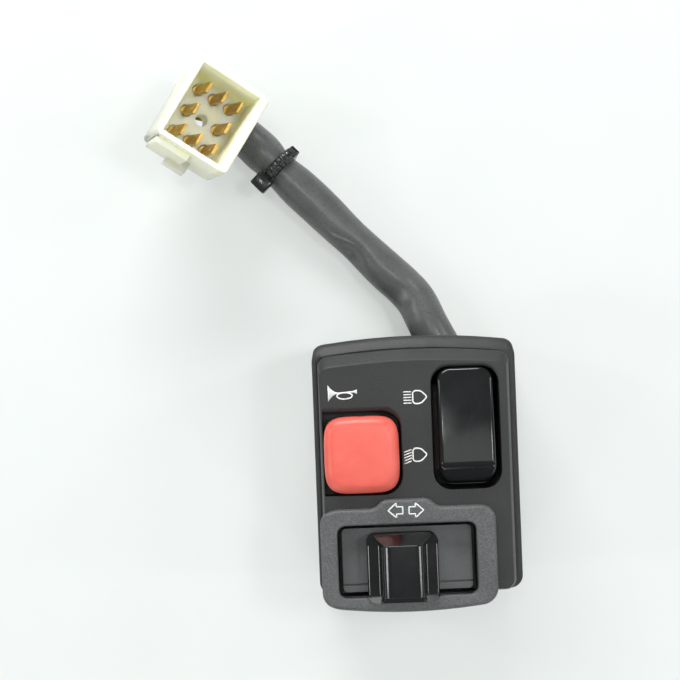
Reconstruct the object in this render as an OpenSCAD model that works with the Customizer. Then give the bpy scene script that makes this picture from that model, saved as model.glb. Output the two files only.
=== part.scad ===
// Left-hand handlebar switch cluster with a horn button, a beam rocker and an indicator slide.
// X runs along the handlebar, Y up the face and Z out of the face. The origin is on the bar's axis.

/* [Handlebar] */
// Diameter of the handlebar that the two halves clamp
bar_d = 22.2; // [21:0.1:25.4]
// Casing wall between the bar and the deck that carries the switches
deck_wall = 2.3; // [1.8:0.1:4]
// Casing wall between the bar and the rooms above and below it
side_wall = 4.4; // [4:0.1:5.5]
// Casing wall behind the bar
back_wall = 3.4; // [2.6:0.1:6]

/* [Casing] */
// Width of the casing along the bar
case_w = 47.8; // [46:0.2:56]
// Height of the crowned top above the bar's axis
case_top = 27; // [26.6:0.1:32]
// Depth of the bottom below the bar's axis
case_bottom = 33.2; // [33:0.1:38]
// Rise of the crowned top between its corners and its middle
crown = 1.7; // [0.6:0.1:2.4]
// Radius of the casing's upright corners
corner_r = 3; // [2:0.1:5]
// Height of the face above the switch deck
switch_depth = 13.6; // [13.4:0.1:18]
// Height of the inner tier above the shoulder of the outer tier
tier_h = 9; // [7:0.1:10]
// Height of the bevel round the face
bevel_h = 2.5; // [1:0.1:4]
// Width of the bevel along the top of the face
bevel_top_w = 3.2; // [1:0.1:4]
// Shell thickness of the rooms' outer walls
shell = 2.4; // [1.6:0.1:3]

/* [Horn] */
// Width of the horn button
horn_w = 17.25; // [15:0.05:18]
// Height of the horn button along the face
horn_l = 17.7; // [15:0.1:18.5]
// Corner radius of the horn button
horn_r = 3.5; // [2:0.1:5]
// How far the horn button stands out of the face
horn_proud = 3; // [1.5:0.1:5]
// Travel of the horn button
horn_travel = 2.2; // [1.2:0.1:2.6]
// Diameter of the horn button's stem
stem_d = 5; // [4:0.1:6]

/* [Beam rocker] */
// Width of the rocker
rocker_w = 12.85; // [11:0.05:14]
// Length of the rocker
rocker_l = 26.6; // [24:0.1:28]
// Tilt of the rocker each way from level
rocker_tilt = 7; // [4:0.5:8]
// How far the level rocker stands out of the face
rocker_proud = 2.6; // [1:0.1:4]
// Diameter of the rocker's pivot pins
pin_d = 2; // [1.6:0.1:3]

/* [Indicator] */
// Width of the indicator bezel
bezel_w = 39.7; // [38:0.1:41]
// Thickness of the bezel on the face
bezel_t = 2; // [1.4:0.1:3.5]
// Width of the bezel's window
window_w = 31.85; // [30:0.05:33]
// Height of the bezel's window
window_l = 16.6; // [15.6:0.1:17]
// Width of the knob across its base
knob_w = 16.4; // [13:0.1:18]
// Length of the knob up the face
knob_l = 16; // [13:0.1:16.4]
// Height of the knob above the face
knob_h = 9.6; // [7:0.1:12]
// Travel of the slide each way from the middle
slide_travel = 5; // [3:0.1:5.6]

/* [Fasteners] */
// Diameter of the two clamp screws
clamp_screw_d = 4; // [3:0.1:5]
// Diameter of the small screws that hold the switch boards
board_screw_d = 2.2; // [1.6:0.1:2.6]
// Thickness of the switch boards
board_t = 1.6; // [1:0.1:2]

/* [Cable] */
// Outside diameter of the cable sleeve
sleeve_d = 10; // [8:0.1:10.4]
// Diameter of one lead
lead_d = 1.4; // [1.2:0.1:1.5]
// Width of the cable tie's strap
tie_w = 2.6; // [2:0.1:4]

/* [Connector] */
// Width of the connector shell across its columns of terminals
conn_w = 18.2; // [17.4:0.1:20]
// Height of the connector shell along its columns of terminals
conn_h = 21.3; // [20.4:0.1:23]
// Depth of the connector shell
conn_l = 20; // [18:0.1:24]
// Depth of the socket round the blades
socket_l = 13; // [10:0.1:15]
// Wall of the connector shell
conn_wall = 1.3; // [1:0.1:1.6]
// Pitch of the columns of terminals
conn_pitch_w = 4.4; // [4:0.1:4.8]
// Pitch of the rows of terminals
conn_pitch_h = 5.9; // [5.4:0.1:6.2]
// Width of a blade
blade_w = 2.8; // [2:0.1:3]

/* [Hidden] */
$fn = 48;

// Clearances
run_fit = 0.05;
slip_fit = 0.02;
part_gap = 0.3;
contact_gap = 0.1;
cut = 1;

// Levels above the bar's axis
bar_r = bar_d / 2;
deck_z = bar_r + deck_wall;
face_z = deck_z + switch_depth;
shoulder_z = face_z - tier_h;
back_z = -bar_r - back_wall;
room_y = bar_r + side_wall;

// Sides of the outer tier, the inner tier and the face
case_mid_x = -0.1;
case_l = case_mid_x - case_w / 2;
case_r = case_mid_x + case_w / 2;
tier_l = case_l + 1.4;
tier_r = case_r - 2.2;
tier_top = case_top - 2.1;
tier_bottom = -case_bottom + 0.7;
face_l = tier_l + 0.6;
face_r = tier_r - 0.8;
face_top = tier_top - bevel_top_w;
face_bottom = tier_bottom + 0.6;
tier_crown = 0.88 * crown;
face_crown = 0.7 * crown;
groove_w = 0.35;
groove_d = 0.7;
edge_r = 0.9;
back_round = 1.5;

// Rooms inside the casing
room_l = case_l + shell + 0.8;
room_r = case_r - shell - 1.2;
room_top = face_top + 0.6;
room_roof_z = face_z - 4;
floor_back_z = back_z + 2.2;
lower_y = -case_bottom + shell + 0.2;

// Horn switch
horn_lip = 0.65;
horn_side_gap = 0.2;
horn_x = tier_l + horn_lip + horn_side_gap + horn_w / 2;
horn_y = 0.05;
horn_recess_r = 4.5;
horn_low_gap = 0.5;
horn_right_gap = 0.6;
horn_top_gap = 1.1;
horn_edge = 1.1;
horn_wall = 1.3;
stem_r = stem_d / 2;
rivet_r = 1.4;
rivet_h = 0.5;
strip_t = 0.5;
dimple_r = 0.8;
dimple_h = 0.5;
clip_t = 0.5;
web_t = 1.2;
board_top = deck_z + board_t;
horn_tip_z = board_top + rivet_h + horn_travel + contact_gap;
bridge_z = horn_tip_z + dimple_h;
web_z = bridge_z + strip_t + contact_gap;
web_top = web_z + web_t;
horn_top = face_z + horn_proud;
horn_under_z = horn_top - 2.4;
horn_skirt_z = web_top + horn_travel + part_gap;
horn_board_gap = 1.1;
rivet_edge = 0.125;
horn_reach = horn_w / 2 - horn_board_gap - rivet_r - rivet_edge;
horn_spring_wire = 0.6;
horn_spring_r = stem_r + 1.2;
horn_board_top_y = room_y - 1.2;

// Beam switch
rocker_gap = 1.35;
rocker_edge = 2.7;
rocker_x = tier_r - rocker_edge - rocker_gap - rocker_w / 2;
rocker_y = 5.4;
rocker_end_gap = 0.8;
rocker_recess_r = 4;
rocker_lip = 0.7;
dip_board_r = 3.4;
dip_board_gap = 0.6;
dip_blade_w = 3.2;
pivot_z = face_z - 4.6;
cap_z = 2.2;
rocker_top = face_z + rocker_proud - pivot_z;
hub_w = 8;
hub_l = 9;
ear_t = 1.5;
ear_gap = 0.35;
ear_l = 5.2;
pin_r = pin_d / 2;
pin_bite = 2;
fulcrum_r = 0.6;
fulcrum_z = board_top + 1;
blade_tilt = 5;
blade_half = 6.5;
blade_reach = 5.6;
dip_dimple_h = 0.3;
dip_rivet_h = fulcrum_z - part_gap - board_top;
plunger_r = 1.5;
plunger_l = 3;
blade_top_z = fulcrum_z + fulcrum_r + run_fit + strip_t;
plunger_tip = blade_top_z + part_gap + plunger_r - pivot_z;
dip_spring_wire = 0.35;
dip_spring_r = 1;

// Indicator switch
bezel_l = tier_l;
bezel_r = bezel_l + bezel_w;
bezel_edge = 3.2;
bezel_top_edge = 3.8;
bezel_hump = 2;
bezel_round = 0.27;
skirt_out = 1.7;
bezel_sag = 1.4;
sag_share = 0.72;
window_l_x = bezel_l + bezel_edge;
window_r_x = window_l_x + window_w;
window_y0 = -case_bottom + 0.5;
window_y1 = window_y0 + window_l;
window_r = 1.9;
bezel_top = face_z + bezel_t;
window_mid = (window_l_x + window_r_x) / 2;
slide_shift = 1.2;
slide_x = window_mid - slide_shift;
knob_y = window_y1 - 1.9 - knob_l / 2;
floor_top = face_z - 2;
floor_t = 3;
floor_z = floor_top - floor_t;
floor_moat = 0.9;
ledge_z = deck_z - 1.2;
board_screw_r = board_screw_d / 2;
board_head_r = board_screw_r * 1.8;
board_head_h = 1.2;
ledge_w = 2 * (board_head_r + 0.2);
carriage_w = 12.4;
tunnel_half = carriage_w / 2 + slide_travel + 1.8;
tunnel_l = slide_x - tunnel_half;
tunnel_r = slide_x + tunnel_half;
slide_board_t = 2;
tail_l = 2;
carriage_z = ledge_z + 1.7;
track_h = 1.1;
notch_r = 1.7;
contact_y = -room_y - 5.5;
detent_y = -room_y - 12;
ball_r = 1.5;
ball_z = ledge_z + track_h + part_gap + ball_r;
detent_wire = 0.35;
detent_spring_r = 0.9;
detent_bore = 6;
stalk_w = 5;
stalk_l = 6;
stalk_top = floor_top + 5;

// Screw places
clamp_at = [[-6.5, room_y + 3.7], [case_r - 6.2, -room_y - 6.5]];
clamp_r = clamp_screw_d / 2;
clamp_head_r = clamp_r * 1.8;
clamp_head_h = 3;
clamp_seat = 4.5;
insert_r = clamp_r + 0.7;
insert_l = 9;
insert_from = 1;
boss_r = insert_r + 1.8;
deck_screw_y = bar_r + 1.1;
deck_screw_at = [[horn_x - 3.4, deck_screw_y], [rocker_x - 5, -6.2], [rocker_x + 5, deck_screw_y]];
deck_screw_l = 3.4;
ledge_screw_at = [[tunnel_l - ledge_w / 2, -room_y - 7.5], [tunnel_r + ledge_w / 2, -room_y - 7.5]];
ledge_screw_l = 5;

// Cable: the sleeve runs out of the top wall and along the surface behind the cluster
sleeve_r = sleeve_d / 2;
sleeve_wall = 0.9;
exit_from = [10, 19.6, -5.9];
exit_turn = 27;
exit_way = [-sin(exit_turn), cos(exit_turn), 0];
exit_steps = [0, 4.5, 11, 12.2];
sleeve_route = concat([for (d = exit_steps) exit_from + d * exit_way],
    [[2.2, 35.6, -7.5], [-1, 39.6, -8.8], [-5.2, 43.7, -9.4], [-13.4, 52, -9.5], [-20.2, 59.2, -9.4],
     [-26.2, 65.2, -9], [-31, 70, -8.7], [-34.4, 73.8, -9], [-38, 77.4, -9.5], [-41, 79.6, -9.5]]);
// Share of the full radius that the sleeve keeps at each point: the dent and the tie's pinch
sleeve_size = [1, 1, 1, 1, 1, 1, 1, 0.92, 1, 1, 0.88, 1, 0.98, 1];
grommet_t = 0.9;
grommet_lip = 0.35;
grommet_lip_t = 1.2;
tie_point = 10;
tie_t = 1.1;
tie_head = [3.4, 3.6, 4.4];

// Connector: it leans over the end of the sleeve with its mating face up, turned about its own axis
conn_at = [-45, 80.8, 18.3];
conn_lean = -2.2;
conn_tilt = 15.5;
conn_spin = -31.1;
// The latch's plate and its thumb block, each as [from x, from z, width, height, how far out]
latch = [[-8, -16, 9, 13, 1.7], [-2.5, -17, 5.5, 5, 3]];
cavity_at = [-1, 0, 1];
blade_t = 0.8;
blade_l = 9;
barrel_r = 1.3;
barrel_l = 5.5;
lead_r = lead_d / 2;
lead_ring_r = 2.7;
lead_pull = 3;
mouth_pull = 6;
mouth_turn = 90;
lead_steps = 8;

// Turns the corners [x, y, radius] of an outline into points, with an arc at each corner
function unit(v) = v / norm(v);
function wrap(a) = a > 180 ? a - 360 : a < -180 ? a + 360 : a;
function arc_at(p, q, s, n) =
    let (a = unit([p[0] - q[0], p[1] - q[1]]), b = unit([s[0] - q[0], s[1] - q[1]]),
         half = acos(a * b) / 2, mid = unit(a + b),
         c = [q[0], q[1]] + mid * q[2] / sin(half), reach = q[2] / tan(half),
         d0 = [q[0], q[1]] + a * reach - c, d1 = [q[0], q[1]] + b * reach - c,
         from = atan2(d0[1], d0[0]), sweep = wrap(atan2(d1[1], d1[0]) - from))
    [for (i = [0 : n]) c + q[2] * [cos(from + sweep * i / n), sin(from + sweep * i / n)]];
function outline(c, n = 8) =
    let (m = len(c)) [for (i = [0 : m - 1]) each arc_at(c[(i + m - 1) % m], c[i], c[(i + 1) % m], n)];

// Moves every side of an outline in by d
function turn_of(p, q, s) = (q[0] - p[0]) * (s[1] - q[1]) - (q[1] - p[1]) * (s[0] - q[0]);
function inset_at(p, q, s, d) =
    let (a = unit([p[0] - q[0], p[1] - q[1]]), b = unit([s[0] - q[0], s[1] - q[1]]),
         side = turn_of(p, q, s) > 0 ? 1 : -1,
         move = unit(a + b) * side * d / sin(acos(a * b) / 2))
    [q[0] + move[0], q[1] + move[1], max(q[2] - side * d, 0.2)];
function inset(c, d) =
    let (m = len(c)) [for (i = [0 : m - 1]) inset_at(c[(i + m - 1) % m], c[i], c[(i + 1) % m], d)];

// Corners of a plain block, and of a block with a crowned top
function block(l, r, b, t, rad) = [[l, b, rad], [r, b, rad], [r, t, rad], [l, t, rad]];
crown_share = 0.85;
function crowned(l, r, b, t, rise, rb, rt) =
    let (half = (r - l) / 2, apex = rise / (1 - crown_share / 2))
    [[l, b, rb], [r, b, rb], [r, t - rise, rt],
     [(l + r) / 2, t - rise + apex, crown_share * half * half / apex], [l, t - rise, rt]];

outer_tier = crowned(case_l, case_r, -case_bottom, case_top, crown, corner_r, corner_r);
inner_tier = crowned(tier_l, tier_r, tier_bottom, tier_top, tier_crown, corner_r - 0.5, corner_r - 0.5);
face_edge = crowned(face_l, face_r, face_bottom, face_top, face_crown, corner_r - 1, corner_r - 1);
bezel_edge_line = [
    [bezel_l, -case_bottom - skirt_out, 4],
    [(bezel_l + bezel_r) / 2, -case_bottom - skirt_out - bezel_sag / (1 - sag_share / 2),
        sag_share * pow(bezel_w / 2, 2) * (1 - sag_share / 2) / bezel_sag],
    [bezel_r, -case_bottom - skirt_out, 4],
    [bezel_r, window_y1 + bezel_top_edge, 3.5],
    [window_mid + 7.3, window_y1 + bezel_top_edge, 3],
    [window_mid + 5.3, window_y1 + bezel_top_edge + bezel_hump, 3],
    [window_mid - 5.3, window_y1 + bezel_top_edge + bezel_hump, 3],
    [window_mid - 7.3, window_y1 + bezel_top_edge, 3],
    [bezel_l, window_y1 + bezel_top_edge, 3.5]];

// Skins a row of loops, each with as many points, and closes both ends
module skin(loops) {
    n = len(loops[0]);
    m = len(loops);
    sides = [for (j = [0 : m - 2]) for (i = [0 : n - 1]) let (k = (i + 1) % n)
        each [[j * n + i, (j + 1) * n + i, (j + 1) * n + k], [j * n + i, (j + 1) * n + k, j * n + k]]];
    ends = [[for (i = [0 : n - 1]) i], [for (i = [0 : n - 1]) m * n - 1 - i]];
    polyhedron([for (l = loops) each l], concat(sides, ends));
}
// Skins a stack of [outline, height] sections, lowest first
module loft(sections) {
    skin([for (s = sections) [for (p = s[0]) [p[0], p[1], s[1]]]]);
}

// Skins closed loops of points into a ring; the last loop joins the first
module ring_loft(loops) {
    n = len(loops[0]);
    m = len(loops);
    faces = [for (j = [0 : m - 1]) for (i = [0 : n - 1])
        let (k = (i + 1) % n, a = j * n, b = ((j + 1) % m) * n)
        each [[a + i, b + i, b + k], [a + i, b + k, a + k]]];
    polyhedron([for (l = loops) each l], faces);
}

// Sweeps a round tube along points, with a radius at each
function ring(p, t, r, sides, ref) =
    let (s = unit(cross(ref, t)), u = cross(t, s))
    [for (j = [0 : sides - 1]) p + r * (cos(360 * j / sides) * s + sin(360 * j / sides) * u)];
function tube_loops(points, radii, sides, ref = [0, 0, 1]) =
    let (last = len(points) - 1) [for (i = [0 : last])
        ring(points[i], unit(points[min(i + 1, last)] - points[max(i - 1, 0)]), radii[i], sides, ref)];
module tube(points, radii, sides, ref) {
    skin(tube_loops(points, radii, sides, ref));
}

// A helical spring from z0 to z1, and the least gap between its turns
function coil_points(r, z0, z1, turns, wire) =
    [for (i = [0 : 8 * turns]) let (a = 45 * i)
        [r * cos(a), r * sin(a), z0 + wire / 2 + (z1 - z0 - wire) * i / (8 * turns)]];
function least_gap(p, wire) =
    min([for (i = [0 : len(p) - 5]) for (j = [i + 4 : len(p) - 1]) norm(p[i] - p[j])]) - wire;
module coil(r, z0, z1, turns, wire) {
    points = coil_points(r, z0, z1, turns, wire);
    echo(coil_gap = least_gap(points, wire));
    tube(points, [for (p = points) wire / 2], 6, [0, 0, 1]);
}

module plate(corners, z0, z1) {
    translate([0, 0, z0]) linear_extrude(z1 - z0) polygon(outline(corners));
}
module bar_bore() {
    translate([case_l - cut, 0, 0]) rotate([0, 90, 0]) cylinder(r = bar_r, h = case_w + 2 * cut, $fn = 96);
}
module screw(r, head_r, head_h, l) {
    cylinder(r = r, h = l);
    translate([0, 0, -head_h]) cylinder(r = head_r, h = head_h);
}
module rivet(head_h) {
    translate([0, 0, board_top]) cylinder(r = rivet_r, h = head_h);
    translate([0, 0, deck_z]) cylinder(r = rivet_r / 2, h = board_t);
}
module rivet_hole() {
    translate([0, 0, deck_z - cut]) cylinder(r = rivet_r / 2 + slip_fit, h = board_t + 2 * cut);
}

// The front half: two tiers, the saddle for the bar, the recesses and the rooms behind them
module front_casing() {
    color("#3b3c3c") difference() {
        union() {
            difference() {
                loft([
                    [outline(inset(outer_tier, 0.25)), 0],
                    [outline(outer_tier), 0.3],
                    [outline(outer_tier), shoulder_z - edge_r],
                    [outline(inset(outer_tier, 0.25)), shoulder_z - 0.3],
                    [outline(crowned(case_l + edge_r, case_r - edge_r, -case_bottom + 0.2,
                        case_top - edge_r, crown, corner_r - 0.2, corner_r - 0.6)), shoulder_z],
                    [outline(crowned(tier_l - groove_w, tier_r + groove_w, tier_bottom - 0.1,
                        tier_top + groove_w, tier_crown, corner_r - 0.4, corner_r - 0.3)), shoulder_z],
                    [outline(crowned(tier_l - groove_w + 0.05, tier_r + groove_w - 0.05, tier_bottom - 0.05,
                        tier_top + groove_w - 0.05, tier_crown, corner_r - 0.4, corner_r - 0.3)),
                        shoulder_z - groove_d],
                    [outline(inner_tier), shoulder_z - groove_d],
                    [outline(inner_tier), face_z - bevel_h],
                    [outline(face_edge), face_z]]);
                upper_room();
                lower_rooms();
                horn_room();
                rocker_room();
                lead_channel();
            }
            clamp_boss(0, room_roof_z + cut);
        }
        bar_bore();
        for (p = clamp_at) translate([p[0], p[1], insert_from - cut])
            cylinder(r = insert_r + slip_fit, h = insert_l + cut);
        for (p = clamp_at) translate([p[0], p[1], -cut])
            cylinder(r = clamp_r + part_gap, h = insert_from + insert_l + 3 + cut);
        translate([horn_x, horn_y, web_z - cut]) cylinder(r = stem_r + run_fit, h = web_t + 2 * cut);
        for (p = deck_screw_at) translate([p[0], p[1], deck_z - deck_screw_l + board_t])
            cylinder(r = board_screw_r + slip_fit, h = deck_screw_l);
        for (p = ledge_screw_at) translate([p[0], p[1], ledge_z - cut])
            cylinder(r = board_screw_r + slip_fit, h = ledge_screw_l + cut);
    }
}
module upper_room() {
    translate([room_l, room_y, -cut])
        cube([room_r - room_l, room_top - room_y, room_roof_z + cut]);
}
module lower_rooms() {
    translate([tunnel_l - ledge_w, lower_y, -cut])
        cube([tunnel_r - tunnel_l + 2 * ledge_w, -room_y - lower_y, ledge_z + cut]);
    translate([tunnel_l, lower_y, 0]) cube([tunnel_r - tunnel_l, -room_y - lower_y, floor_z + cut]);
    plate(block(window_l_x, window_r_x, tier_bottom - cut, window_y1, window_r), floor_z, face_z + cut);
}
module horn_room() {
    plate(horn_recess(0), web_top, face_z + cut);
    loft([[outline(horn_recess(0)), face_z - horn_edge],
        [outline(horn_recess(horn_edge + cut)), face_z + cut]]);
    translate([horn_x - horn_w / 2 + 0.8, horn_y - horn_l / 2 + 0.3, deck_z])
        cube([horn_w - 1.6, room_y + cut - horn_y + horn_l / 2 - 0.3, web_z - deck_z]);
}
// Outline of the horn's recess, with its upper side moved up by rise
function horn_recess(rise) =
    let (l = tier_l + horn_lip, r = horn_x + horn_w / 2 + horn_right_gap,
         b = horn_y - horn_l / 2 - horn_low_gap, t = horn_y + horn_l / 2 + horn_top_gap + rise)
    [[l, b, 0.3], [r, b, horn_recess_r], [r, t, horn_recess_r], [l, t, 0.3]];
module rocker_room() {
    plate(rocker_recess(0), deck_z, face_z + cut);
    loft([[outline(rocker_recess(0)), face_z - rocker_lip],
        [outline(rocker_recess(rocker_lip + cut)), face_z + cut]]);
}
function rocker_recess(rise) =
    let (half_w = rocker_w / 2 + rocker_gap, half_l = rocker_l / 2 + rocker_end_gap)
    block(rocker_x - half_w, rocker_x + half_w, rocker_y - half_l, rocker_y + half_l + rise, rocker_recess_r);
module lead_channel() {
    translate([-2.5, -room_y - cut, deck_z]) cube([4.6, 2 * room_y + 2 * cut, 4.2]);
}
module clamp_boss(z0, z1) {
    translate([clamp_at[0][0], clamp_at[0][1], z0]) cylinder(r = boss_r, h = z1 - z0);
}

// The rear half: the other side of the saddle, the screw seats and the cable's way out
module rear_casing() {
    color("#333434") difference() {
        union() {
            difference() {
                loft([
                    [outline(inset(outer_tier, 0.5 + back_round)), back_z],
                    [outline(inset(outer_tier, 0.5 + back_round * 0.3)), back_z + back_round * 0.3],
                    [outline(inset(outer_tier, 0.5)), back_z + back_round],
                    [outline(outer_tier), -0.3],
                    [outline(inset(outer_tier, 0.25)), 0]]);
                translate([room_l, room_y, floor_back_z])
                    cube([room_r - room_l, room_top - room_y, cut - floor_back_z]);
                translate([tunnel_l - ledge_w, lower_y, floor_back_z])
                    cube([tunnel_r - tunnel_l + 2 * ledge_w, -room_y - lower_y, cut - floor_back_z]);
            }
            clamp_boss(floor_back_z - cut, 0);
        }
        bar_bore();
        for (p = clamp_at) translate([p[0], p[1], back_z - cut]) {
            cylinder(r = clamp_r + part_gap, h = cut * 2 - back_z);
            cylinder(r = clamp_head_r + part_gap, h = clamp_seat + cut);
        }
        cable_way(sleeve_r + grommet_t, room_top - cut, case_top + cut);
    }
}
// A slanting U-shaped way through the top wall, open towards the front half, between two heights
module cable_way(r, y0, y1) {
    run = 2 * (case_top - exit_from[1]);
    intersection() {
        at_exit() {
            cylinder(r = r, h = 2 * run, center = true);
            translate([-r, exit_from[2], -run]) cube([2 * r, -exit_from[2], 2 * run]);
        }
        translate([case_l, y0, back_z]) cube([case_w, y1 - y0, -back_z]);
    }
}
// Places its children where the sleeve starts, with Z along it and -Y out of the face
module at_exit() {
    translate(exit_from) rotate([0, 0, exit_turn]) rotate([-90, 0, 0]) children();
}

module clamp_screws() {
    color("#b8bcc0") for (p = clamp_at) translate([p[0], p[1], back_z + clamp_seat])
        difference() {
            screw(clamp_r, clamp_head_r, clamp_head_h, insert_from + insert_l - 1 - back_z - clamp_seat);
            translate([0, 0, -clamp_head_h - cut]) cross_slot(clamp_head_r * 1.3, 1, 1.4 + cut);
        }
}
module cross_slot(l, w, h) {
    translate([-l / 2, -w / 2, 0]) cube([l, w, h]);
    translate([-w / 2, -l / 2, 0]) cube([w, l, h]);
}
module clamp_inserts() {
    color("#b5893c") for (p = clamp_at) translate([p[0], p[1], insert_from])
        difference() {
            cylinder(r = insert_r, h = insert_l);
            translate([0, 0, -cut]) cylinder(r = clamp_r + slip_fit, h = insert_l + 2 * cut);
        }
}

// Bezel: a window frame on the face, with a skirt that wraps over the casing's bottom edge
module indicator_bezel() {
    outer = outline(bezel_edge_line);
    tucked = outline(inset(bezel_edge_line, bezel_round));
    inner = window_line(0);
    skirt_z = shoulder_z + part_gap;
    skirt_y = tier_bottom - part_gap;
    in_skirt = [for (p = outer) p[1] < skirt_y - 0.5];
    foot = [for (i = [0 : len(outer) - 1]) in_skirt[i] ? at_z(tucked[i], skirt_z) : at_z(outer[i], face_z)];
    seat = [for (i = [0 : len(outer) - 1]) in_skirt[i] ? [outer[i][0], skirt_y, face_z]
        : at_z(0.7 * outer[i] + 0.3 * inner[i], face_z)];
    wall = [for (i = [0 : len(outer) - 1]) in_skirt[i] ? at_z(seat[i], skirt_z)
        : at_z(0.85 * outer[i] + 0.15 * inner[i], face_z)];
    color("#454646") ring_loft([foot,
        [for (p = outer) at_z(p, face_z + bezel_t / 4)],
        [for (p = outer) at_z(p, bezel_top - 3 * bezel_round)],
        [for (p = tucked) at_z(p, bezel_top - bezel_round)],
        [for (p = outline(inset(bezel_edge_line, 3 * bezel_round))) at_z(p, bezel_top)],
        [for (p = window_line(bezel_round)) at_z(p, bezel_top)],
        [for (p = inner) at_z(p, bezel_top - bezel_round)],
        [for (p = inner) at_z(p, face_z)],
        seat,
        wall]);
}
function at_z(p, z) = [p[0], p[1], z];
// The window's outline, d outside it, with a point for each point of the bezel's outline
function window_line(d) =
    let (a = outline(block(window_l_x - d, window_r_x + d, window_y0 - d, window_y1 + d, window_r + d)),
         n = len(a) / 4)
    concat(part_of(a, 0, n - 1), between(a[n - 1], a[n], n), part_of(a, n, 3 * n - 1),
        between(a[3 * n - 1], a[3 * n], 4 * n), part_of(a, 3 * n, 4 * n - 1));
function part_of(a, i, j) = [for (k = [i : j]) a[k]];
function between(p, q, n) = [for (i = [1 : n]) p + (q - p) * i / (n + 1)];
// Floor of the window, with the slot for the slide's stalk and a groove along its lower edge
module indicator_floor() {
    slot = stalk_w / 2 + slide_travel + part_gap;
    color("#3e3f3f") difference() {
        plate(block(window_l_x + floor_moat, window_r_x - floor_moat, window_y0 + floor_moat,
            window_y1 - floor_moat, 1), floor_z, floor_top);
        translate([slide_x - slot, knob_y - stalk_l / 2 - part_gap, floor_z - cut])
            cube([2 * slot, stalk_l + 2 * part_gap, floor_t + 2 * cut]);
        translate([window_l_x, window_y0 + 2.4, floor_top - 0.4]) cube([window_w, 0.4, 0.4 + cut]);
    }
}

// Horn: a pillow-topped button on a stem, which carries the contact strip
module horn_button() {
    base = block(horn_x - horn_w / 2, horn_x + horn_w / 2, horn_y - horn_l / 2, horn_y + horn_l / 2, horn_r);
    color("#f2463c") difference() {
        union() {
            difference() {
                loft([
                    [outline(base), horn_skirt_z],
                    [outline(base), horn_top - 2.2],
                    [outline(inset(base, 0.35)), horn_top - 1.3],
                    [outline(inset(base, 1.1)), horn_top - 0.7],
                    [outline(inset(base, 2.6)), horn_top - 0.25],
                    [outline(inset(base, 3.3)), horn_top - 0.12],
                    [outline(block(horn_x - 3, horn_x + 3, horn_y - 3, horn_y + 3, 0.8)), horn_top]]);
                plate(inset(base, horn_wall), horn_skirt_z - cut, horn_under_z);
            }
            translate([horn_x, horn_y, horn_tip_z]) cylinder(r = stem_r, h = horn_under_z - horn_tip_z + cut);
        }
    }
}
module horn_spring() {
    color("#c2c6ca") translate([horn_x, horn_y, 0])
        coil(horn_spring_r, web_top, horn_under_z, 5, horn_spring_wire);
}
module horn_contact_bridge() {
    color("#c79a45") translate([horn_x, horn_y, 0]) difference() {
        union() {
            translate([-horn_reach - 1, -stem_r - 1, bridge_z])
                cube([2 * horn_reach + 2, stem_d + 2, strip_t]);
            for (s = [-1, 1]) translate([s * horn_reach, 0, horn_tip_z]) cylinder(r = dimple_r, h = dimple_h);
        }
        translate([0, 0, bridge_z - cut]) cylinder(r = stem_r + slip_fit, h = strip_t + 2 * cut);
    }
}
// Spring clip under the strip, open on one side
module horn_clip() {
    color("#8f9296") translate([horn_x, horn_y, bridge_z - clip_t]) difference() {
        cylinder(r = stem_r + 1.2, h = clip_t);
        translate([0, 0, -cut]) cylinder(r = stem_r + slip_fit, h = clip_t + 2 * cut);
        translate([-stem_r * 0.8, 0, -cut]) cube([stem_r * 1.6, stem_d, clip_t + 2 * cut]);
    }
}
module horn_base() {
    color("#7a4a2a") difference() {
        translate([horn_x - horn_w / 2 + horn_board_gap, horn_y - horn_l / 2 + 0.6, deck_z])
            cube([horn_w - 2 * horn_board_gap, horn_board_top_y - horn_y + horn_l / 2 - 0.6, board_t]);
        for (s = [-1, 1]) translate([horn_x + s * horn_reach, horn_y, 0]) rivet_hole();
        translate([deck_screw_at[0][0], deck_screw_at[0][1], deck_z - cut])
            cylinder(r = board_screw_r + run_fit, h = board_t + 2 * cut);
    }
}
module horn_contacts() {
    color("#c79a45") for (s = [-1, 1]) translate([horn_x + s * horn_reach, horn_y, 0]) rivet(rivet_h);
}

// Places its children in the rocker's own frame, tilted to the high-beam position
module at_rocker() {
    translate([rocker_x, rocker_y, pivot_z]) rotate([-rocker_tilt, 0, 0]) children();
}
module dip_rocker() {
    base = block(-rocker_w / 2, rocker_w / 2, -rocker_l / 2, rocker_l / 2, 3.2);
    color("#17181a") at_rocker() difference() {
        union() {
            loft([
                [outline(base), cap_z],
                [outline(base), rocker_top - 2.4],
                [outline(rocker_section(0.3, 0.5, 3)), rocker_top - 1.2],
                [outline(rocker_section(0.55, 1.1, 2.8)), rocker_top - 0.45],
                [outline(rocker_section(1.2, 1.9, 2.4)), rocker_top]]);
            translate([-hub_w / 2, -hub_l / 2, plunger_tip + 0.3]) cube([hub_w, hub_l, cap_z - plunger_tip]);
        }
        translate([0, 0, plunger_tip - cut]) cylinder(r = plunger_r + run_fit, h = cut + 6.4);
        for (s = [-1, 1]) translate([s * (hub_w / 2 - pin_bite), 0, 0]) rotate([0, s * 90, 0])
            cylinder(r = pin_r + run_fit, h = pin_bite + cut);
    }
}
function rocker_section(dx, dy, r) =
    block(dx - rocker_w / 2, rocker_w / 2 - dx, dy - rocker_l / 2, rocker_l / 2 - dy, r);
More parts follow.
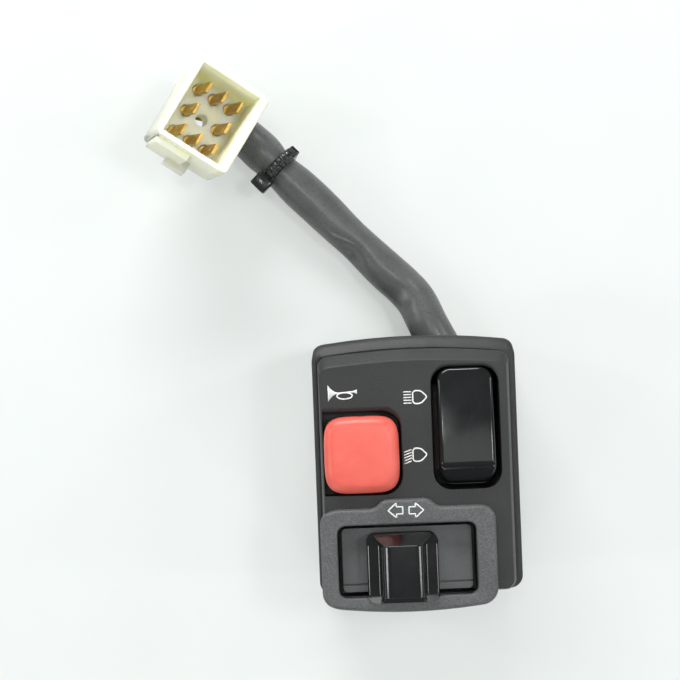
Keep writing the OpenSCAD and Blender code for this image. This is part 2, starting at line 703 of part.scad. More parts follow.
// Two pins, one in each ear of the base
module dip_pivot_pins() {
    color("#b8bcc0") for (s = [-1, 1])
        translate([rocker_x + s * (hub_w / 2 - pin_bite + 0.2), rocker_y, pivot_z]) rotate([0, s * 90, 0])
            cylinder(r = pin_r, h = pin_bite - 0.2 + ear_gap + ear_t);
}
module dip_plunger() {
    color("#d8d2c0") at_rocker() translate([0, 0, plunger_tip]) {
        sphere(r = plunger_r);
        cylinder(r = plunger_r, h = plunger_l);
    }
}
module dip_spring() {
    color("#c2c6ca") at_rocker()
        coil(dip_spring_r, plunger_tip + plunger_l, plunger_tip + 6.4, 4, dip_spring_wire);
}
module dip_contact_blade() {
    color("#c79a45") translate([rocker_x, rocker_y, fulcrum_z]) rotate([blade_tilt, 0, 0]) {
        translate([-dip_blade_w / 2, -blade_half, fulcrum_r + run_fit])
            cube([dip_blade_w, 2 * blade_half, strip_t]);
        for (s = [-1, 1]) translate([0, s * blade_reach, fulcrum_r + run_fit - dip_dimple_h])
            cylinder(r = dimple_r, h = dip_dimple_h);
    }
}
// Board with two ears that hold the rocker's pins
module dip_base() {
    half = hub_w / 2 + ear_gap;
    color("#7a4a2a") difference() {
        union() {
            plate(block(rocker_x - rocker_w / 2 - dip_board_gap, rocker_x + rocker_w / 2 + dip_board_gap,
                rocker_y - rocker_l / 2, horn_board_top_y, dip_board_r), deck_z, board_top);
            for (s = [-1, 1]) translate([rocker_x + s * (half + ear_t / 2) - ear_t / 2, rocker_y, 0]) ear();
        }
        translate([rocker_x - half - ear_t - cut, rocker_y, pivot_z]) rotate([0, 90, 0])
            cylinder(r = pin_r + slip_fit, h = 2 * (half + ear_t + cut));
        for (s = [-1, 0, 1]) translate([rocker_x, rocker_y + s * blade_reach, 0]) rivet_hole();
        for (i = [1, 2]) translate([deck_screw_at[i][0], deck_screw_at[i][1], deck_z - cut])
            cylinder(r = board_screw_r + run_fit, h = board_t + 2 * cut);
    }
}
module ear() {
    translate([0, -ear_l / 2, deck_z]) cube([ear_t, ear_l, pivot_z - deck_z - 0.8]);
    translate([0, 0, pivot_z - 0.8]) rotate([0, 90, 0]) cylinder(r = ear_l / 2, h = ear_t);
}
module dip_terminals() {
    color("#c79a45") {
        for (s = [-1, 1]) translate([rocker_x, rocker_y + s * blade_reach, 0]) rivet(dip_rivet_h);
        translate([rocker_x, rocker_y, 0]) rivet(fulcrum_z - board_top - fulcrum_r / 3);
        translate([rocker_x - dip_blade_w / 2, rocker_y, fulcrum_z]) rotate([0, 90, 0])
            cylinder(r = fulcrum_r, h = dip_blade_w);
    }
}

// Indicator: a fluted knob on a carriage that slides along the window
module indicator_knob() {
    b = knob_y - knob_l / 2;
    t = knob_y + knob_l / 2;
    top = face_z + knob_h;
    z0 = floor_top + part_gap;
    lip = window_y0 + part_gap - b;
    color("#141516") difference() {
        loft([
            [outline(knob_section(0, lip, 0, 2.2)), z0],
            [outline(knob_section(0, lip, 0, 2.2)), bezel_top + part_gap],
            [outline(knob_section(0, 0, 0, 2.2)), bezel_top + part_gap + 0.1],
            [outline(knob_section(0.1, 0.1, 0.3, 2.2)), bezel_top + 1.2],
            [outline(knob_section(1.5, 0.7, 1.2, 2.2)), bezel_top + 2],
            [outline(knob_section(2.5, 1, 1.9, 2)), top - 4],
            [outline(knob_section(3, 1.2, 2.5, 1.8)), top - 1.2],
            [outline(knob_section(3.4, 1.5, 2.9, 1.6)), top - 0.4],
            [outline(knob_section(4.2, 2.2, 3.6, 1.2)), top]]);
        translate([slide_x - stalk_w / 2 - slip_fit, knob_y - stalk_l / 2 - slip_fit, z0 - cut])
            cube([stalk_w + 2 * slip_fit, stalk_l + 2 * slip_fit, stalk_top - z0 + cut]);
        for (s = [-1, 1]) translate([slide_x + s * (knob_w / 2 + 0.2), b - cut, bezel_top + 0.4])
            rotate([-90, 0, 0]) cylinder(r = 0.7, h = knob_l + 2 * cut);
    }
}
// Outline of the knob at one height: inset at the sides, the lower end and the upper end
function knob_section(dx, db, dt, r) =
    block(slide_x - knob_w / 2 + dx, slide_x + knob_w / 2 - dx,
        knob_y - knob_l / 2 + db, knob_y + knob_l / 2 - dt, r);
module indicator_carriage() {
    y0 = lower_y + part_gap;
    y1 = -room_y - part_gap;
    color("#d9d4c4") difference() {
        union() {
            translate([slide_x - carriage_w / 2, y0, carriage_z])
                cube([carriage_w, y1 - y0, floor_z - part_gap - carriage_z]);
            translate([slide_x - stalk_w / 2, knob_y - stalk_l / 2, carriage_z + cut])
                cube([stalk_w, stalk_l, stalk_top - carriage_z - cut]);
        }
        translate([slide_x, detent_y, carriage_z - cut])
            cylinder(r = ball_r + run_fit, h = detent_bore + cut);
    }
}
module indicator_contact_bridge() {
    color("#c79a45") translate([slide_x, contact_y, 0]) {
        translate([-3.4, -1.5, carriage_z - strip_t]) cube([6.8, 3, strip_t]);
        for (s = [-1, 1]) translate([s * slide_travel / 2, 0, carriage_z - 2 * strip_t])
            cylinder(r = dimple_r, h = strip_t);
    }
}
module detent_ball() {
    color("#c2c6ca") translate([slide_x, detent_y, ball_z]) sphere(r = ball_r);
}
module detent_spring() {
    color("#c2c6ca") translate([slide_x, detent_y, 0])
        coil(detent_spring_r, ball_z + ball_r, carriage_z + detent_bore, 4, detent_wire);
}
// Board under the carriage, with the detent track
module indicator_base() {
    y0 = lower_y + part_gap;
    y1 = -room_y - part_gap;
    color("#7a4a2a") difference() {
        union() {
            translate([tunnel_l - ledge_w + part_gap, y0, ledge_z - slide_board_t])
                cube([tunnel_r - tunnel_l + 2 * ledge_w - 2 * part_gap, y1 - y0, slide_board_t]);
            translate([slide_x - slide_travel - 3, detent_y - 2, ledge_z - cut])
                cube([2 * slide_travel + 6, 4, track_h + cut]);
        }
        for (s = [-1, 0, 1]) translate([slide_x + s * slide_travel, detent_y - 3, ledge_z + track_h + 0.9])
            rotate([-90, 0, 0]) cylinder(r = notch_r, h = 6);
        for (s = [-1, 0, 1]) translate([slide_x + s * slide_travel, contact_y, ledge_z - slide_board_t - cut])
            cylinder(r = rivet_r / 2 + slip_fit, h = slide_board_t + 2 * cut);
        for (p = ledge_screw_at) translate([p[0], p[1], ledge_z - slide_board_t - cut])
            cylinder(r = board_screw_r + run_fit, h = slide_board_t + 2 * cut);
    }
}
// Contact studs with solder tails behind the board
module indicator_terminals() {
    color("#c79a45") for (s = [-1, 0, 1]) translate([slide_x + s * slide_travel, contact_y, ledge_z]) {
        cylinder(r = rivet_r, h = rivet_h - 0.1);
        translate([0, 0, -slide_board_t - tail_l]) cylinder(r = rivet_r / 2, h = slide_board_t + tail_l);
    }
}
module board_screws() {
    color("#b8bcc0") {
        for (p = deck_screw_at) translate([p[0], p[1], board_top]) rotate([180, 0, 0])
            screw(board_screw_r, board_head_r, board_head_h, deck_screw_l - part_gap);
        for (p = ledge_screw_at) translate([p[0], p[1], ledge_z - slide_board_t])
            screw(board_screw_r, board_head_r, board_head_h, slide_board_t + ledge_screw_l - part_gap);
    }
}

// Rubber grommet in the top wall, with a lip inside it
module cable_grommet() {
    color("#2a2a2b") difference() {
        union() {
            cable_way(sleeve_r + grommet_t - slip_fit, room_top - grommet_lip_t, case_top + 0.6);
            cable_way(sleeve_r + grommet_t + grommet_lip, room_top - grommet_lip_t, room_top);
        }
        at_exit() cylinder(r = sleeve_r + run_fit, h = 2 * case_top, center = true);
    }
}
// The sleeve's far end is hollow, where the leads run into it
module cable_sleeve() {
    outer = tube_loops(sleeve_route, [for (s = sleeve_size) s * sleeve_r], 12);
    inner = tube_loops(sleeve_route, [for (s = sleeve_size) s * sleeve_r - sleeve_wall], 12);
    last = len(outer) - 1;
    color("#3a3a3b") skin(concat(outer, [for (i = [last : -1 : last - 2]) inner[i]]));
}
// Places its children on the sleeve, with Z along it
module on_sleeve(i) {
    d = sleeve_route[i + 1] - sleeve_route[i - 1];
    translate(sleeve_route[i]) rotate([0, 0, atan2(d[1], d[0])]) rotate([0, 90, 0]) children();
}
module cable_tie() {
    r = sleeve_size[tie_point] * sleeve_r + 0.25;
    color("#1e1e1f") on_sleeve(tie_point) {
        rotate_extrude() translate([r, -tie_w / 2]) square([tie_t, tie_w]);
        translate([-tie_head[0] / 2, r + tie_t / 2, -tie_head[2] / 2]) cube(tie_head);
    }
}

// Places its children in the connector's own frame, with its mating face at z = 0
module at_connector() {
    translate(conn_at) rotate([0, 0, conn_lean]) rotate([0, conn_tilt, 0])
        rotate([0, 0, conn_spin]) children();
}
module connector_shell() {
    half_w = conn_w / 2;
    half_h = conn_h / 2;
    shell_line = block(-half_w, half_w, -half_h, half_h, 1.2);
    color("#f3f2e2") at_connector() difference() {
        union() {
            plate(shell_line, -conn_l, 0);
            for (p = latch) translate([p[0], -half_h - p[4], p[1]]) cube([p[2], p[4] + conn_wall / 2, p[3]]);
        }
        plate(inset(shell_line, conn_wall), -socket_l, cut);
        for (i = cavity_at) for (j = cavity_at) translate([i * conn_pitch_w, j * conn_pitch_h, -conn_l - cut])
            cylinder(r = barrel_r + 0.25, h = conn_l - socket_l + 2 * cut);
    }
}
// Blades in every cavity but the middle one
module connector_terminals() {
    color("#c8a050") at_connector() for (i = cavity_at) for (j = cavity_at) if (i != 0 || j != 0)
        translate([i * conn_pitch_w, j * conn_pitch_h, -socket_l]) {
            difference() {
                translate([-blade_t / 2, -blade_w / 2, 0]) cube([blade_t, blade_w, blade_l]);
                translate([0, 0, blade_l - 3]) rotate([0, 90, 0]) cylinder(r = 0.6, h = 2, center = true);
            }
            translate([-blade_t / 2, -barrel_r / 2, -barrel_l]) cube([blade_t, barrel_r, barrel_l]);
            translate([0, 0, -barrel_l]) cylinder(r = barrel_r, h = barrel_l - 1);
        }
}

// Leads: they leave the connector's back, draw together and turn under it into the sleeve
function turned(v, a) = [v[0] * cos(a) - v[1] * sin(a), v[0] * sin(a) + v[1] * cos(a), v[2]];
conn_out = turned([sin(conn_tilt), 0, cos(conn_tilt)], conn_lean);
conn_side = turned([-sin(conn_spin) * cos(conn_tilt), cos(conn_spin), sin(conn_spin) * sin(conn_tilt)],
    conn_lean);
sleeve_end = sleeve_route[len(sleeve_route) - 1];
lead_clear = 1.2;
lead_in = unit(sleeve_end - sleeve_route[len(sleeve_route) - 2]);
lead_mouth = sleeve_end + lead_clear * lead_in;
lead_tail = 0.6;
lead_inside = 4;
lead_back = conn_at - (conn_l + lead_tail) * conn_out;
conn_across = cross(conn_side, conn_out);
mouth_across = unit(cross(lead_in, [0, 0, 1]));
mouth_up = cross(mouth_across, lead_in);
function lead_point(i, j, t) =
    let (a = mouth_turn - atan2(j, i),
         from = lead_back + conn_pitch_w * i * conn_across + conn_pitch_h * j * conn_side,
         to = lead_mouth + lead_ring_r * (cos(a) * mouth_across + sin(a) * mouth_up))
    pow(1 - t, 3) * from + 3 * t * pow(1 - t, 2) * (from - lead_pull * conn_out)
    + 3 * t * t * (1 - t) * (to + mouth_pull * lead_in) + pow(t, 3) * to;
function lead_points(i, j) = concat(
    [lead_point(i, j, 0) + (conn_l + lead_tail - socket_l - barrel_l) * conn_out],
    [for (k = [0 : lead_steps]) lead_point(i, j, k / lead_steps)],
    [lead_point(i, j, 1) - lead_inside * lead_in]);
module connector_leads() {
    color("#7d5a3c") for (i = cavity_at) for (j = cavity_at) if (i != 0 || j != 0) {
        points = lead_points(i, j);
        tube(points, [for (p = points) lead_r], 8, conn_side);
    }
}

front_casing();
rear_casing();
clamp_screws();
clamp_inserts();
indicator_bezel();
indicator_floor();
horn_button();
horn_spring();
horn_contact_bridge();
horn_clip();
horn_base();
horn_contacts();
dip_rocker();
dip_pivot_pins();
dip_plunger();
dip_spring();
dip_contact_blade();
dip_base();
dip_terminals();
indicator_knob();
indicator_carriage();
indicator_contact_bridge();
detent_ball();
detent_spring();
indicator_base();
indicator_terminals();
board_screws();
cable_grommet();
cable_sleeve();
cable_tie();
connector_leads();
connector_shell();
connector_terminals();
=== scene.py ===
from math import radians

import bmesh
import bpy
import numpy as np
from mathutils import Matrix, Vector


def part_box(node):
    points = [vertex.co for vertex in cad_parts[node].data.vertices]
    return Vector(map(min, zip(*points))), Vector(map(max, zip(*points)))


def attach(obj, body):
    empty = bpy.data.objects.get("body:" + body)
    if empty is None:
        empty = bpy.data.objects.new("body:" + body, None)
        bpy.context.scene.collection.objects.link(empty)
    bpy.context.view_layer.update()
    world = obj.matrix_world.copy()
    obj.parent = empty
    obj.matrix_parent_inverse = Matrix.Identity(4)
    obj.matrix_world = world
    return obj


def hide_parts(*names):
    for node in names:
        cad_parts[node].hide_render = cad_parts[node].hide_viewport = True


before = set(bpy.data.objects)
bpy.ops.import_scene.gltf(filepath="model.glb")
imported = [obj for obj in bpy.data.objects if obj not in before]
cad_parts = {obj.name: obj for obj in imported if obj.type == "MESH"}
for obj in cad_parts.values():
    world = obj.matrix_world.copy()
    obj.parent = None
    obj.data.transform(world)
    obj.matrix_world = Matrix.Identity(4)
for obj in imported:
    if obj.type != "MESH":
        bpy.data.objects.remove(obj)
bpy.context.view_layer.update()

# Lengths are in mm, unless a comment says otherwise
MM = 0.001
UP = np.array([0, 0, 1.0])
scene = bpy.context.scene
scene.view_settings.view_transform = "Standard"

# Levels from the part's source
FACE_Z = 27.0
BEZEL_Z = 29.0
FLOOR_Z = -14.5


# Camera: straight down, turned a little, with a long lens

CAMERA_AT = (-17.1, 26.6, 447)
CAMERA_TURN = radians(-2.2)
LENS, SENSOR_W = 96.7, 36


def set_camera():
    """The picture's centre lies under CAMERA_AT, and 1 mm on the face is 4.35 pixels of 680."""
    data = bpy.data.cameras.new("camera")
    data.sensor_width = SENSOR_W
    data.lens = LENS
    camera = bpy.data.objects.new("camera", data)
    camera.location = [c * MM for c in CAMERA_AT]
    camera.rotation_euler = (0, 0, CAMERA_TURN)
    scene.collection.objects.link(camera)
    scene.camera = camera


# Shapes

SAME_POINT = 2e-6  # m
FLAT_FOLD, SHARP_FOLD = radians(0.3), radians(25)
FLAT_WEIGHT = 80
# How far the innermost loop of a cap shrinks towards the middle
SHRINK = 0.995


def add_piece(name, points, faces, body, finish, nodes=()):
    """A mesh from points in mm, smooth, riding on a body and standing for the given nodes."""
    mesh = bpy.data.meshes.new(name)
    mesh.from_pydata((np.asarray(points, float) * MM).tolist(), [], faces)
    mesh.update()
    return settle(bpy.data.objects.new(name, mesh), body, finish, nodes)


def settle(piece, body, finish, nodes=()):
    """Links a piece, gives it its finish and hides the nodes that it stands for."""
    scene.collection.objects.link(piece)
    piece.data.materials.clear()
    piece.data.materials.append(finish)
    piece.data.shade_smooth()
    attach(piece, body)
    if nodes:
        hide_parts(*nodes)
    return piece


def points_of(mesh):
    """A mesh's points in mm."""
    at = np.empty(len(mesh.vertices) * 3)
    mesh.vertices.foreach_get("co", at)
    return at.reshape(-1, 3) / MM


def dressed(node, body, finish, width, segments=2, thin=(), reshape=None):
    """A copy of a node: its triangles are merged, its points moved by reshape, its flat faces joined, and every edge
    with a sharp fold is rounded by width mm, apart from those with their middles in a box of thin."""
    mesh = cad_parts[node].data.copy()
    work = bmesh.new()
    work.from_mesh(mesh)
    bmesh.ops.remove_doubles(work, verts=work.verts, dist=SAME_POINT)
    if reshape:
        work.to_mesh(mesh)
        mesh.vertices.foreach_set("co", (reshape(points_of(mesh)) * MM).ravel())
        work.clear()
        work.from_mesh(mesh)
    bmesh.ops.dissolve_limit(work, angle_limit=FLAT_FOLD, verts=work.verts, edges=work.edges)
    fold = np.array([edge.calc_face_angle(0) for edge in work.edges])
    work.to_mesh(mesh)
    work.free()
    ends = np.empty(len(mesh.edges) * 2, int)
    mesh.edges.foreach_get("vertices", ends)
    middle = points_of(mesh)[ends.reshape(-1, 2)].mean(1)
    sharp = fold > SHARP_FOLD
    for low, high in thin:
        sharp &= ~((middle > low) & (middle < high)).all(1)
    mesh.attributes.new("bevel_weight_edge", "FLOAT", "EDGE").data.foreach_set("value", sharp.astype(float))
    piece = settle(bpy.data.objects.new(node + "_finished", mesh), body, finish, [node])
    bevel = piece.modifiers.new("edge_rounding", "BEVEL")
    bevel.width = width * MM
    bevel.segments = segments
    bevel.limit_method = "WEIGHT"
    bevel.use_clamp_overlap = False
    bevel.miter_outer = "MITER_ARC"
    piece.modifiers.new("flat_faces", "WEIGHTED_NORMAL").weight = FLAT_WEIGHT
    return piece


def unit(v):
    """Vectors scaled to a length of 1."""
    return v / np.linalg.norm(v, axis=-1, keepdims=True)


def ease(t):
    """A smooth step: 0 up to 0, 1 from 1 on, and 3 t squared less 2 t cubed between them."""
    t = np.clip(t, 0, 1)
    return t * t * (3 - 2 * t)


def outline(corners, n=8):
    """Closed outline of [x, y, radius] corners: each corner is an arc of n steps that touches both its sides."""
    c = np.asarray(corners, float)
    q, r = c[:, :2], c[:, 2:]
    a, b = unit(np.roll(q, 1, 0) - q), unit(np.roll(q, -1, 0) - q)
    half = np.arccos((a * b).sum(1, keepdims=True)) / 2
    centre = q + unit(a + b) * r / np.sin(half)
    d0, d1 = q + a * r / np.tan(half) - centre, q + b * r / np.tan(half) - centre
    start = np.arctan2(d0[:, 1], d0[:, 0])
    sweep = (np.arctan2(d1[:, 1], d1[:, 0]) - start + np.pi) % (2 * np.pi) - np.pi
    turn = start[:, None] + sweep[:, None] * np.linspace(0, 1, n + 1)
    return (centre[:, None] + r[:, None] * np.stack([np.cos(turn), np.sin(turn)], -1)).reshape(-1, 2)


def block(left, right, bottom, top, r):
    """Corners of a rounded rectangle."""
    return [[left, bottom, r], [right, bottom, r], [right, top, r], [left, top, r]]


def run_along(path):
    """Length along a path at each of its points."""
    return np.r_[0, np.cumsum(np.linalg.norm(np.diff(path, axis=0), axis=1))]


def even(line, count):
    """The closed line's points spaced evenly by the length along it."""
    shut = np.vstack([line, line[:1]])
    run = run_along(shut)
    at = np.linspace(0, run[-1], count, endpoint=False)
    return np.stack([np.interp(at, run, shut[:, k]) for k in range(shut.shape[1])], -1)


def skin(loops):
    """Points and faces of a stack of closed loops: quads between neighbours, and a polygon at each end."""
    loops = np.asarray(loops, float)
    m, n = loops.shape[:2]
    i = np.arange(m * n).reshape(m, n)
    k = np.roll(i, -1, 1)
    faces = np.stack([i[:-1], k[:-1], k[1:], i[1:]], -1).reshape(-1, 4).tolist()
    return loops.reshape(-1, 3), [*faces, i[0, ::-1].tolist(), i[-1].tolist()]


def smooth_min(a, b, k):
    """The lower of two heights, with the edge between them rounded over a height k."""
    return np.minimum(a, b) - np.maximum(k - np.abs(a - b), 0) ** 2 / (4 * k)


def inside(px, py, half_w, half_l, r):
    """How far a point lies inside a rounded rectangle about the origin: the radius less its distance from the inner
    rectangle that the corners turn about."""
    qx, qy = np.abs(px) - half_w + r, np.abs(py) - half_l + r
    return r - np.hypot(np.maximum(qx, 0), np.maximum(qy, 0)) - np.minimum(np.maximum(qx, qy), 0)


def quarter_round(d, r):
    """How far a rounded edge of radius r lies below its top at a distance d inside the rim: a quarter circle."""
    return r - np.sqrt(r * r - (r - np.clip(d, 0, r)) ** 2)


def moulding(line, height, loops, edge=2.2):
    """Loops of a moulded cap: its line shrinks to the middle in steps that crowd at the rim by the power edge, and
    each point stands at height(x, y)."""
    centre = line.mean(0)
    share = 1 - np.linspace(0, 1, loops, endpoint=False) ** edge * SHRINK
    plan = centre + (line - centre) * share[:, None, None]
    return np.dstack([plan, height(plan[..., 0], plan[..., 1])])


def level(line, z):
    """A flat loop at a height."""
    return np.c_[line, np.full(len(line), z)][None]


def layered(half_w, half_l, r, steps, layers):
    """A stack of rounded rectangles: each layer has a height and an inset of its sides."""
    return np.vstack([level(outline(block(d - half_w, half_w - d, d - half_l, half_l - d, r), steps), z)
                      for z, d in layers])


def smooth_line(points, steps):
    """A Catmull-Rom curve: cubic spans whose end slopes are half the chord between the neighbouring points."""
    p = np.asarray(points, float)
    p = np.vstack([2 * p[0] - p[1], p, 2 * p[-1] - p[-2]])
    t = np.linspace(0, 1, steps, endpoint=False)[None, :, None]
    a, b, c, d = (p[i:len(p) - 3 + i, None, :] for i in range(4))
    line = (2 * b + (c - a) * t + (2 * a - 5 * b + 4 * c - d) * t ** 2 + (3 * b - a - 3 * c + d) * t ** 3) / 2
    return np.vstack([line.reshape(-1, p.shape[1]), p[-2]])


def tube(path, radius, sides, up):
    """Rings round a path, square to its heading: radius is one number, or an array over points and angles; angle 0 is
    right of the heading, and 90 degrees is up."""
    way = unit(np.gradient(path, axis=0))
    side = unit(np.cross(way, up))
    over = np.cross(side, way)
    turn = np.linspace(0, 2 * np.pi, sides, endpoint=False)
    ring = np.cos(turn)[None, :, None] * side[:, None] + np.sin(turn)[None, :, None] * over[:, None]
    return path[:, None] + ring * np.broadcast_to(radius, (len(path), sides))[..., None]


# Finishes

# Most of a noise texture lies between these values
LOW, HIGH = 0.3, 0.7
# Widths of what the finishes show
CLOUD_W, SMEAR_W, SCUFF_W, RIPPLE_W, LEAD_GRAIN_W, FIBRE_W = 9, 6, 0.8, 4, 0.7, 20
# How deep light goes into milky nylon, and the shares of that for red, green and blue
MILK_DEPTH, MILK_TINT = 2.5, (1.0, 0.95, 0.6)


def linear(colour):
    """An sRGB hex colour as linear values."""
    c = np.array([int(colour[i:i + 2], 16) for i in (1, 3, 5)]) / 255
    return (*np.where(c <= 0.04045, c / 12.92, ((c + 0.055) / 1.055) ** 2.4).tolist(), 1)


def wire(tree, node, inputs):
    """Sets a node's sockets to values, or to the outputs that feed them."""
    for key, value in inputs.items():
        if isinstance(value, bpy.types.NodeSocket):
            tree.links.new(value, node.inputs[key])
        else:
            node.inputs[key].default_value = value


def add_node(tree, kind, inputs, **settings):
    """Adds a node with its settings, values and links."""
    node = tree.nodes.new(kind)
    for key, value in settings.items():
        setattr(node, key, value)
    wire(tree, node, inputs)
    return node


def new_finish(name, **sockets):
    """A material with one principled shader, its constant sockets set, and the piece's own coordinates."""
    made = bpy.data.materials.new(name)
    made.use_nodes = True
    tree = made.node_tree
    shader = tree.nodes["Principled BSDF"]
    wire(tree, shader, {key.replace("_", " "): value for key, value in sockets.items()})
    return made, tree, shader, add_node(tree, "ShaderNodeTexCoord", {}).outputs["Object"]


def grained_nylon(name, dark, light, grain, depth, rough, speck):
    """Glass-filled nylon from a spark-eroded mould: a matte charcoal whose grain, drawn grain mm wide so that it
    shows, breaks the light into specks, over slow clouds."""
    made, tree, shader, place = new_finish(name, IOR=1.53)
    fine = add_node(tree, "ShaderNodeTexNoise",
                    {"Vector": place, "Scale": 1 / (grain * MM), "Detail": 3.0, "Roughness": 0.6}).outputs["Fac"]
    cloud = add_node(tree, "ShaderNodeTexNoise",
                     {"Vector": place, "Scale": 1 / (CLOUD_W * MM), "Detail": 3.0}).outputs["Fac"]
    blend = add_node(tree, "ShaderNodeMix", {0: speck, 2: cloud, 3: fine}).outputs[0]
    tone = add_node(tree, "ShaderNodeMapRange", {0: blend, 1: 0.36, 2: 0.66}).outputs[0]
    tint = add_node(tree, "ShaderNodeMix", {0: tone, 6: linear(dark), 7: linear(light)}, data_type="RGBA").outputs[2]
    sheen = add_node(tree, "ShaderNodeMapRange",
                     {0: fine, 1: LOW, 2: HIGH, 3: rough + 0.1, 4: rough - 0.1}).outputs[0]
    bump = add_node(tree, "ShaderNodeBump", {"Height": fine, "Strength": 0.6, "Distance": depth * MM}).outputs[0]
    wire(tree, shader, {"Base Color": tint, "Roughness": sheen, "Normal": bump})
    return made


def gloss_plastic(name, colour, worn, rough):
    """Polished moulded polymer: deep colour under a clear gloss, with handling smears, fine scuffs and a slight
    ripple from the mould."""
    made, tree, shader, place = new_finish(name, IOR=1.5)
    smear = add_node(tree, "ShaderNodeTexNoise",
                     {"Vector": place, "Scale": 1 / (SMEAR_W * MM), "Detail": 4.0, "Roughness": 0.6}).outputs["Fac"]
    grit = add_node(tree, "ShaderNodeTexNoise",
                    {"Vector": place, "Scale": 1 / (SCUFF_W * MM), "Detail": 3.0, "Roughness": 0.7}).outputs["Fac"]
    ripple = add_node(tree, "ShaderNodeTexNoise",
                      {"Vector": place, "Scale": 1 / (RIPPLE_W * MM), "Detail": 1.0}).outputs["Fac"]
    share = add_node(tree, "ShaderNodeMapRange", {0: smear, 1: 0.35, 2: 0.75}).outputs[0]
    tint = add_node(tree, "ShaderNodeMix", {0: share, 6: linear(colour), 7: linear(worn)}, data_type="RGBA").outputs[2]
    haze = add_node(tree, "ShaderNodeMapRange", {0: smear, 1: 0.35, 2: 0.75, 3: rough, 4: rough + 0.06}).outputs[0]
    scuff = add_node(tree, "ShaderNodeMapRange", {0: grit, 1: 0.4, 2: 0.7, 3: 0.0, 4: 0.03}).outputs[0]
    sheen = add_node(tree, "ShaderNodeMath", {0: haze, 1: scuff}, operation="ADD").outputs[0]
    bump = add_node(tree, "ShaderNodeBump", {"Height": ripple, "Strength": 0.15, "Distance": 0.03 * MM}).outputs[0]
    wire(tree, shader, {"Base Color": tint, "Roughness": sheen, "Normal": bump})
    return made


def worked_metal(name, colour, tarnish, rough, size):
    """Drawn or stamped metal: bright, with tarnish in patches of size mm and a surface worked finer than that."""
    made, tree, shader, place = new_finish(name, Metallic=1.0)
    stain = add_node(tree, "ShaderNodeTexNoise",
                     {"Vector": place, "Scale": 1 / (size * MM), "Detail": 4.0, "Roughness": 0.6}).outputs["Fac"]
    grit = add_node(tree, "ShaderNodeTexNoise",
                    {"Vector": place, "Scale": 4 / (size * MM), "Detail": 3.0}).outputs["Fac"]
    share = add_node(tree, "ShaderNodeMapRange", {0: stain, 1: 0.35, 2: 0.7}).outputs[0]
    tint = add_node(tree, "ShaderNodeMix",
                    {0: share, 6: linear(colour), 7: linear(tarnish)}, data_type="RGBA").outputs[2]
    sheen = add_node(tree, "ShaderNodeMapRange",
                     {0: grit, 1: LOW, 2: HIGH, 3: rough - 0.06, 4: rough + 0.1}).outputs[0]
    bump = add_node(tree, "ShaderNodeBump", {"Height": stain, "Strength": 0.3, "Distance": 0.02 * MM}).outputs[0]
    wire(tree, shader, {"Base Color": tint, "Roughness": sheen, "Normal": bump})
    return made


def moulded_polymer(name, dark, light, rough, size, depth, milky=0.0):
    """Unpainted moulded polymer: its colour drifts over size mm, with a soft sheen and a shallow uneven skin; milky
    lets some light in, as unfilled nylon does."""
    made, tree, shader, place = new_finish(name, IOR=1.5, Subsurface_Weight=milky,
                                           Subsurface_Scale=MILK_DEPTH * MM, Subsurface_Radius=MILK_TINT)
    drift = add_node(tree, "ShaderNodeTexNoise",
                     {"Vector": place, "Scale": 1 / (size * MM), "Detail": 3.0, "Roughness": 0.55}).outputs["Fac"]
    fine = add_node(tree, "ShaderNodeTexNoise",
                    {"Vector": place, "Scale": 6 / (size * MM), "Detail": 3.0}).outputs["Fac"]
    share = add_node(tree, "ShaderNodeMapRange", {0: drift, 1: LOW, 2: HIGH}).outputs[0]
    tint = add_node(tree, "ShaderNodeMix", {0: share, 6: linear(dark), 7: linear(light)}, data_type="RGBA").outputs[2]
    sheen = add_node(tree, "ShaderNodeMapRange",
                     {0: fine, 1: LOW, 2: HIGH, 3: rough - 0.05, 4: rough + 0.08}).outputs[0]
    bump = add_node(tree, "ShaderNodeBump", {"Height": fine, "Strength": 0.35, "Distance": depth * MM}).outputs[0]
    wire(tree, shader, {"Base Color": tint, "Roughness": sheen, "Normal": bump})
    return made


def lead_insulation():
    """Extruded PVC on thin leads: each lead has its own colour, kept on its points, under a soft sheen."""
    made, tree, shader, place = new_finish("coloured_lead_pvc", IOR=1.5)
    own = add_node(tree, "ShaderNodeAttribute", {}, attribute_name="lead_colour").outputs["Color"]
    fine = add_node(tree, "ShaderNodeTexNoise",
                    {"Vector": place, "Scale": 1 / (LEAD_GRAIN_W * MM), "Detail": 2.0}).outputs["Fac"]
    sheen = add_node(tree, "ShaderNodeMapRange", {0: fine, 1: LOW, 2: HIGH, 3: 0.34, 4: 0.5}).outputs[0]
    wire(tree, shader, {"Base Color": own, "Roughness": sheen})
    return made


# Spark-eroded mouldings: dull charcoal, and a paler, sparkling grain on the bezel
CASING = grained_nylon("glass_filled_nylon_fine_grain", "#1d1e1e", "#2a2b2b", 0.3, 0.035, 0.52, 0.6)
BEZEL = grained_nylon("glass_filled_nylon_coarse_grain", "#434545", "#656868", 0.32, 0.06, 0.5, 0.75)
PLATE = grained_nylon("slide_plate_nylon", "#585b5b", "#636666", 0.3, 0.03, 0.5, 0.6)
# Satin red with a broad soft highlight, and polished black with sharp ones
HORN_RED = moulded_polymer("red_abs_satin", "#e45f51", "#ea695b", 0.36, 5, 0.015)
GLOSS_BLACK = gloss_plastic("polished_black_abs", "#0c0d0e", "#131415", 0.1)
# The sleeve is a smooth satin grey, the tie a harder shine, and the connector pale and milky
SLEEVE_PVC = moulded_polymer("satin_grey_black_pvc", "#4f5050", "#5a5b5b", 0.3, 4, 0.004)
TIE_NYLON = gloss_plastic("black_nylon_66", "#1a1b1b", "#272828", 0.16)
CREAM_NYLON = moulded_polymer("natural_nylon", "#f4fcd8", "#f9fde8", 0.36, 8, 0.01, 0.9)
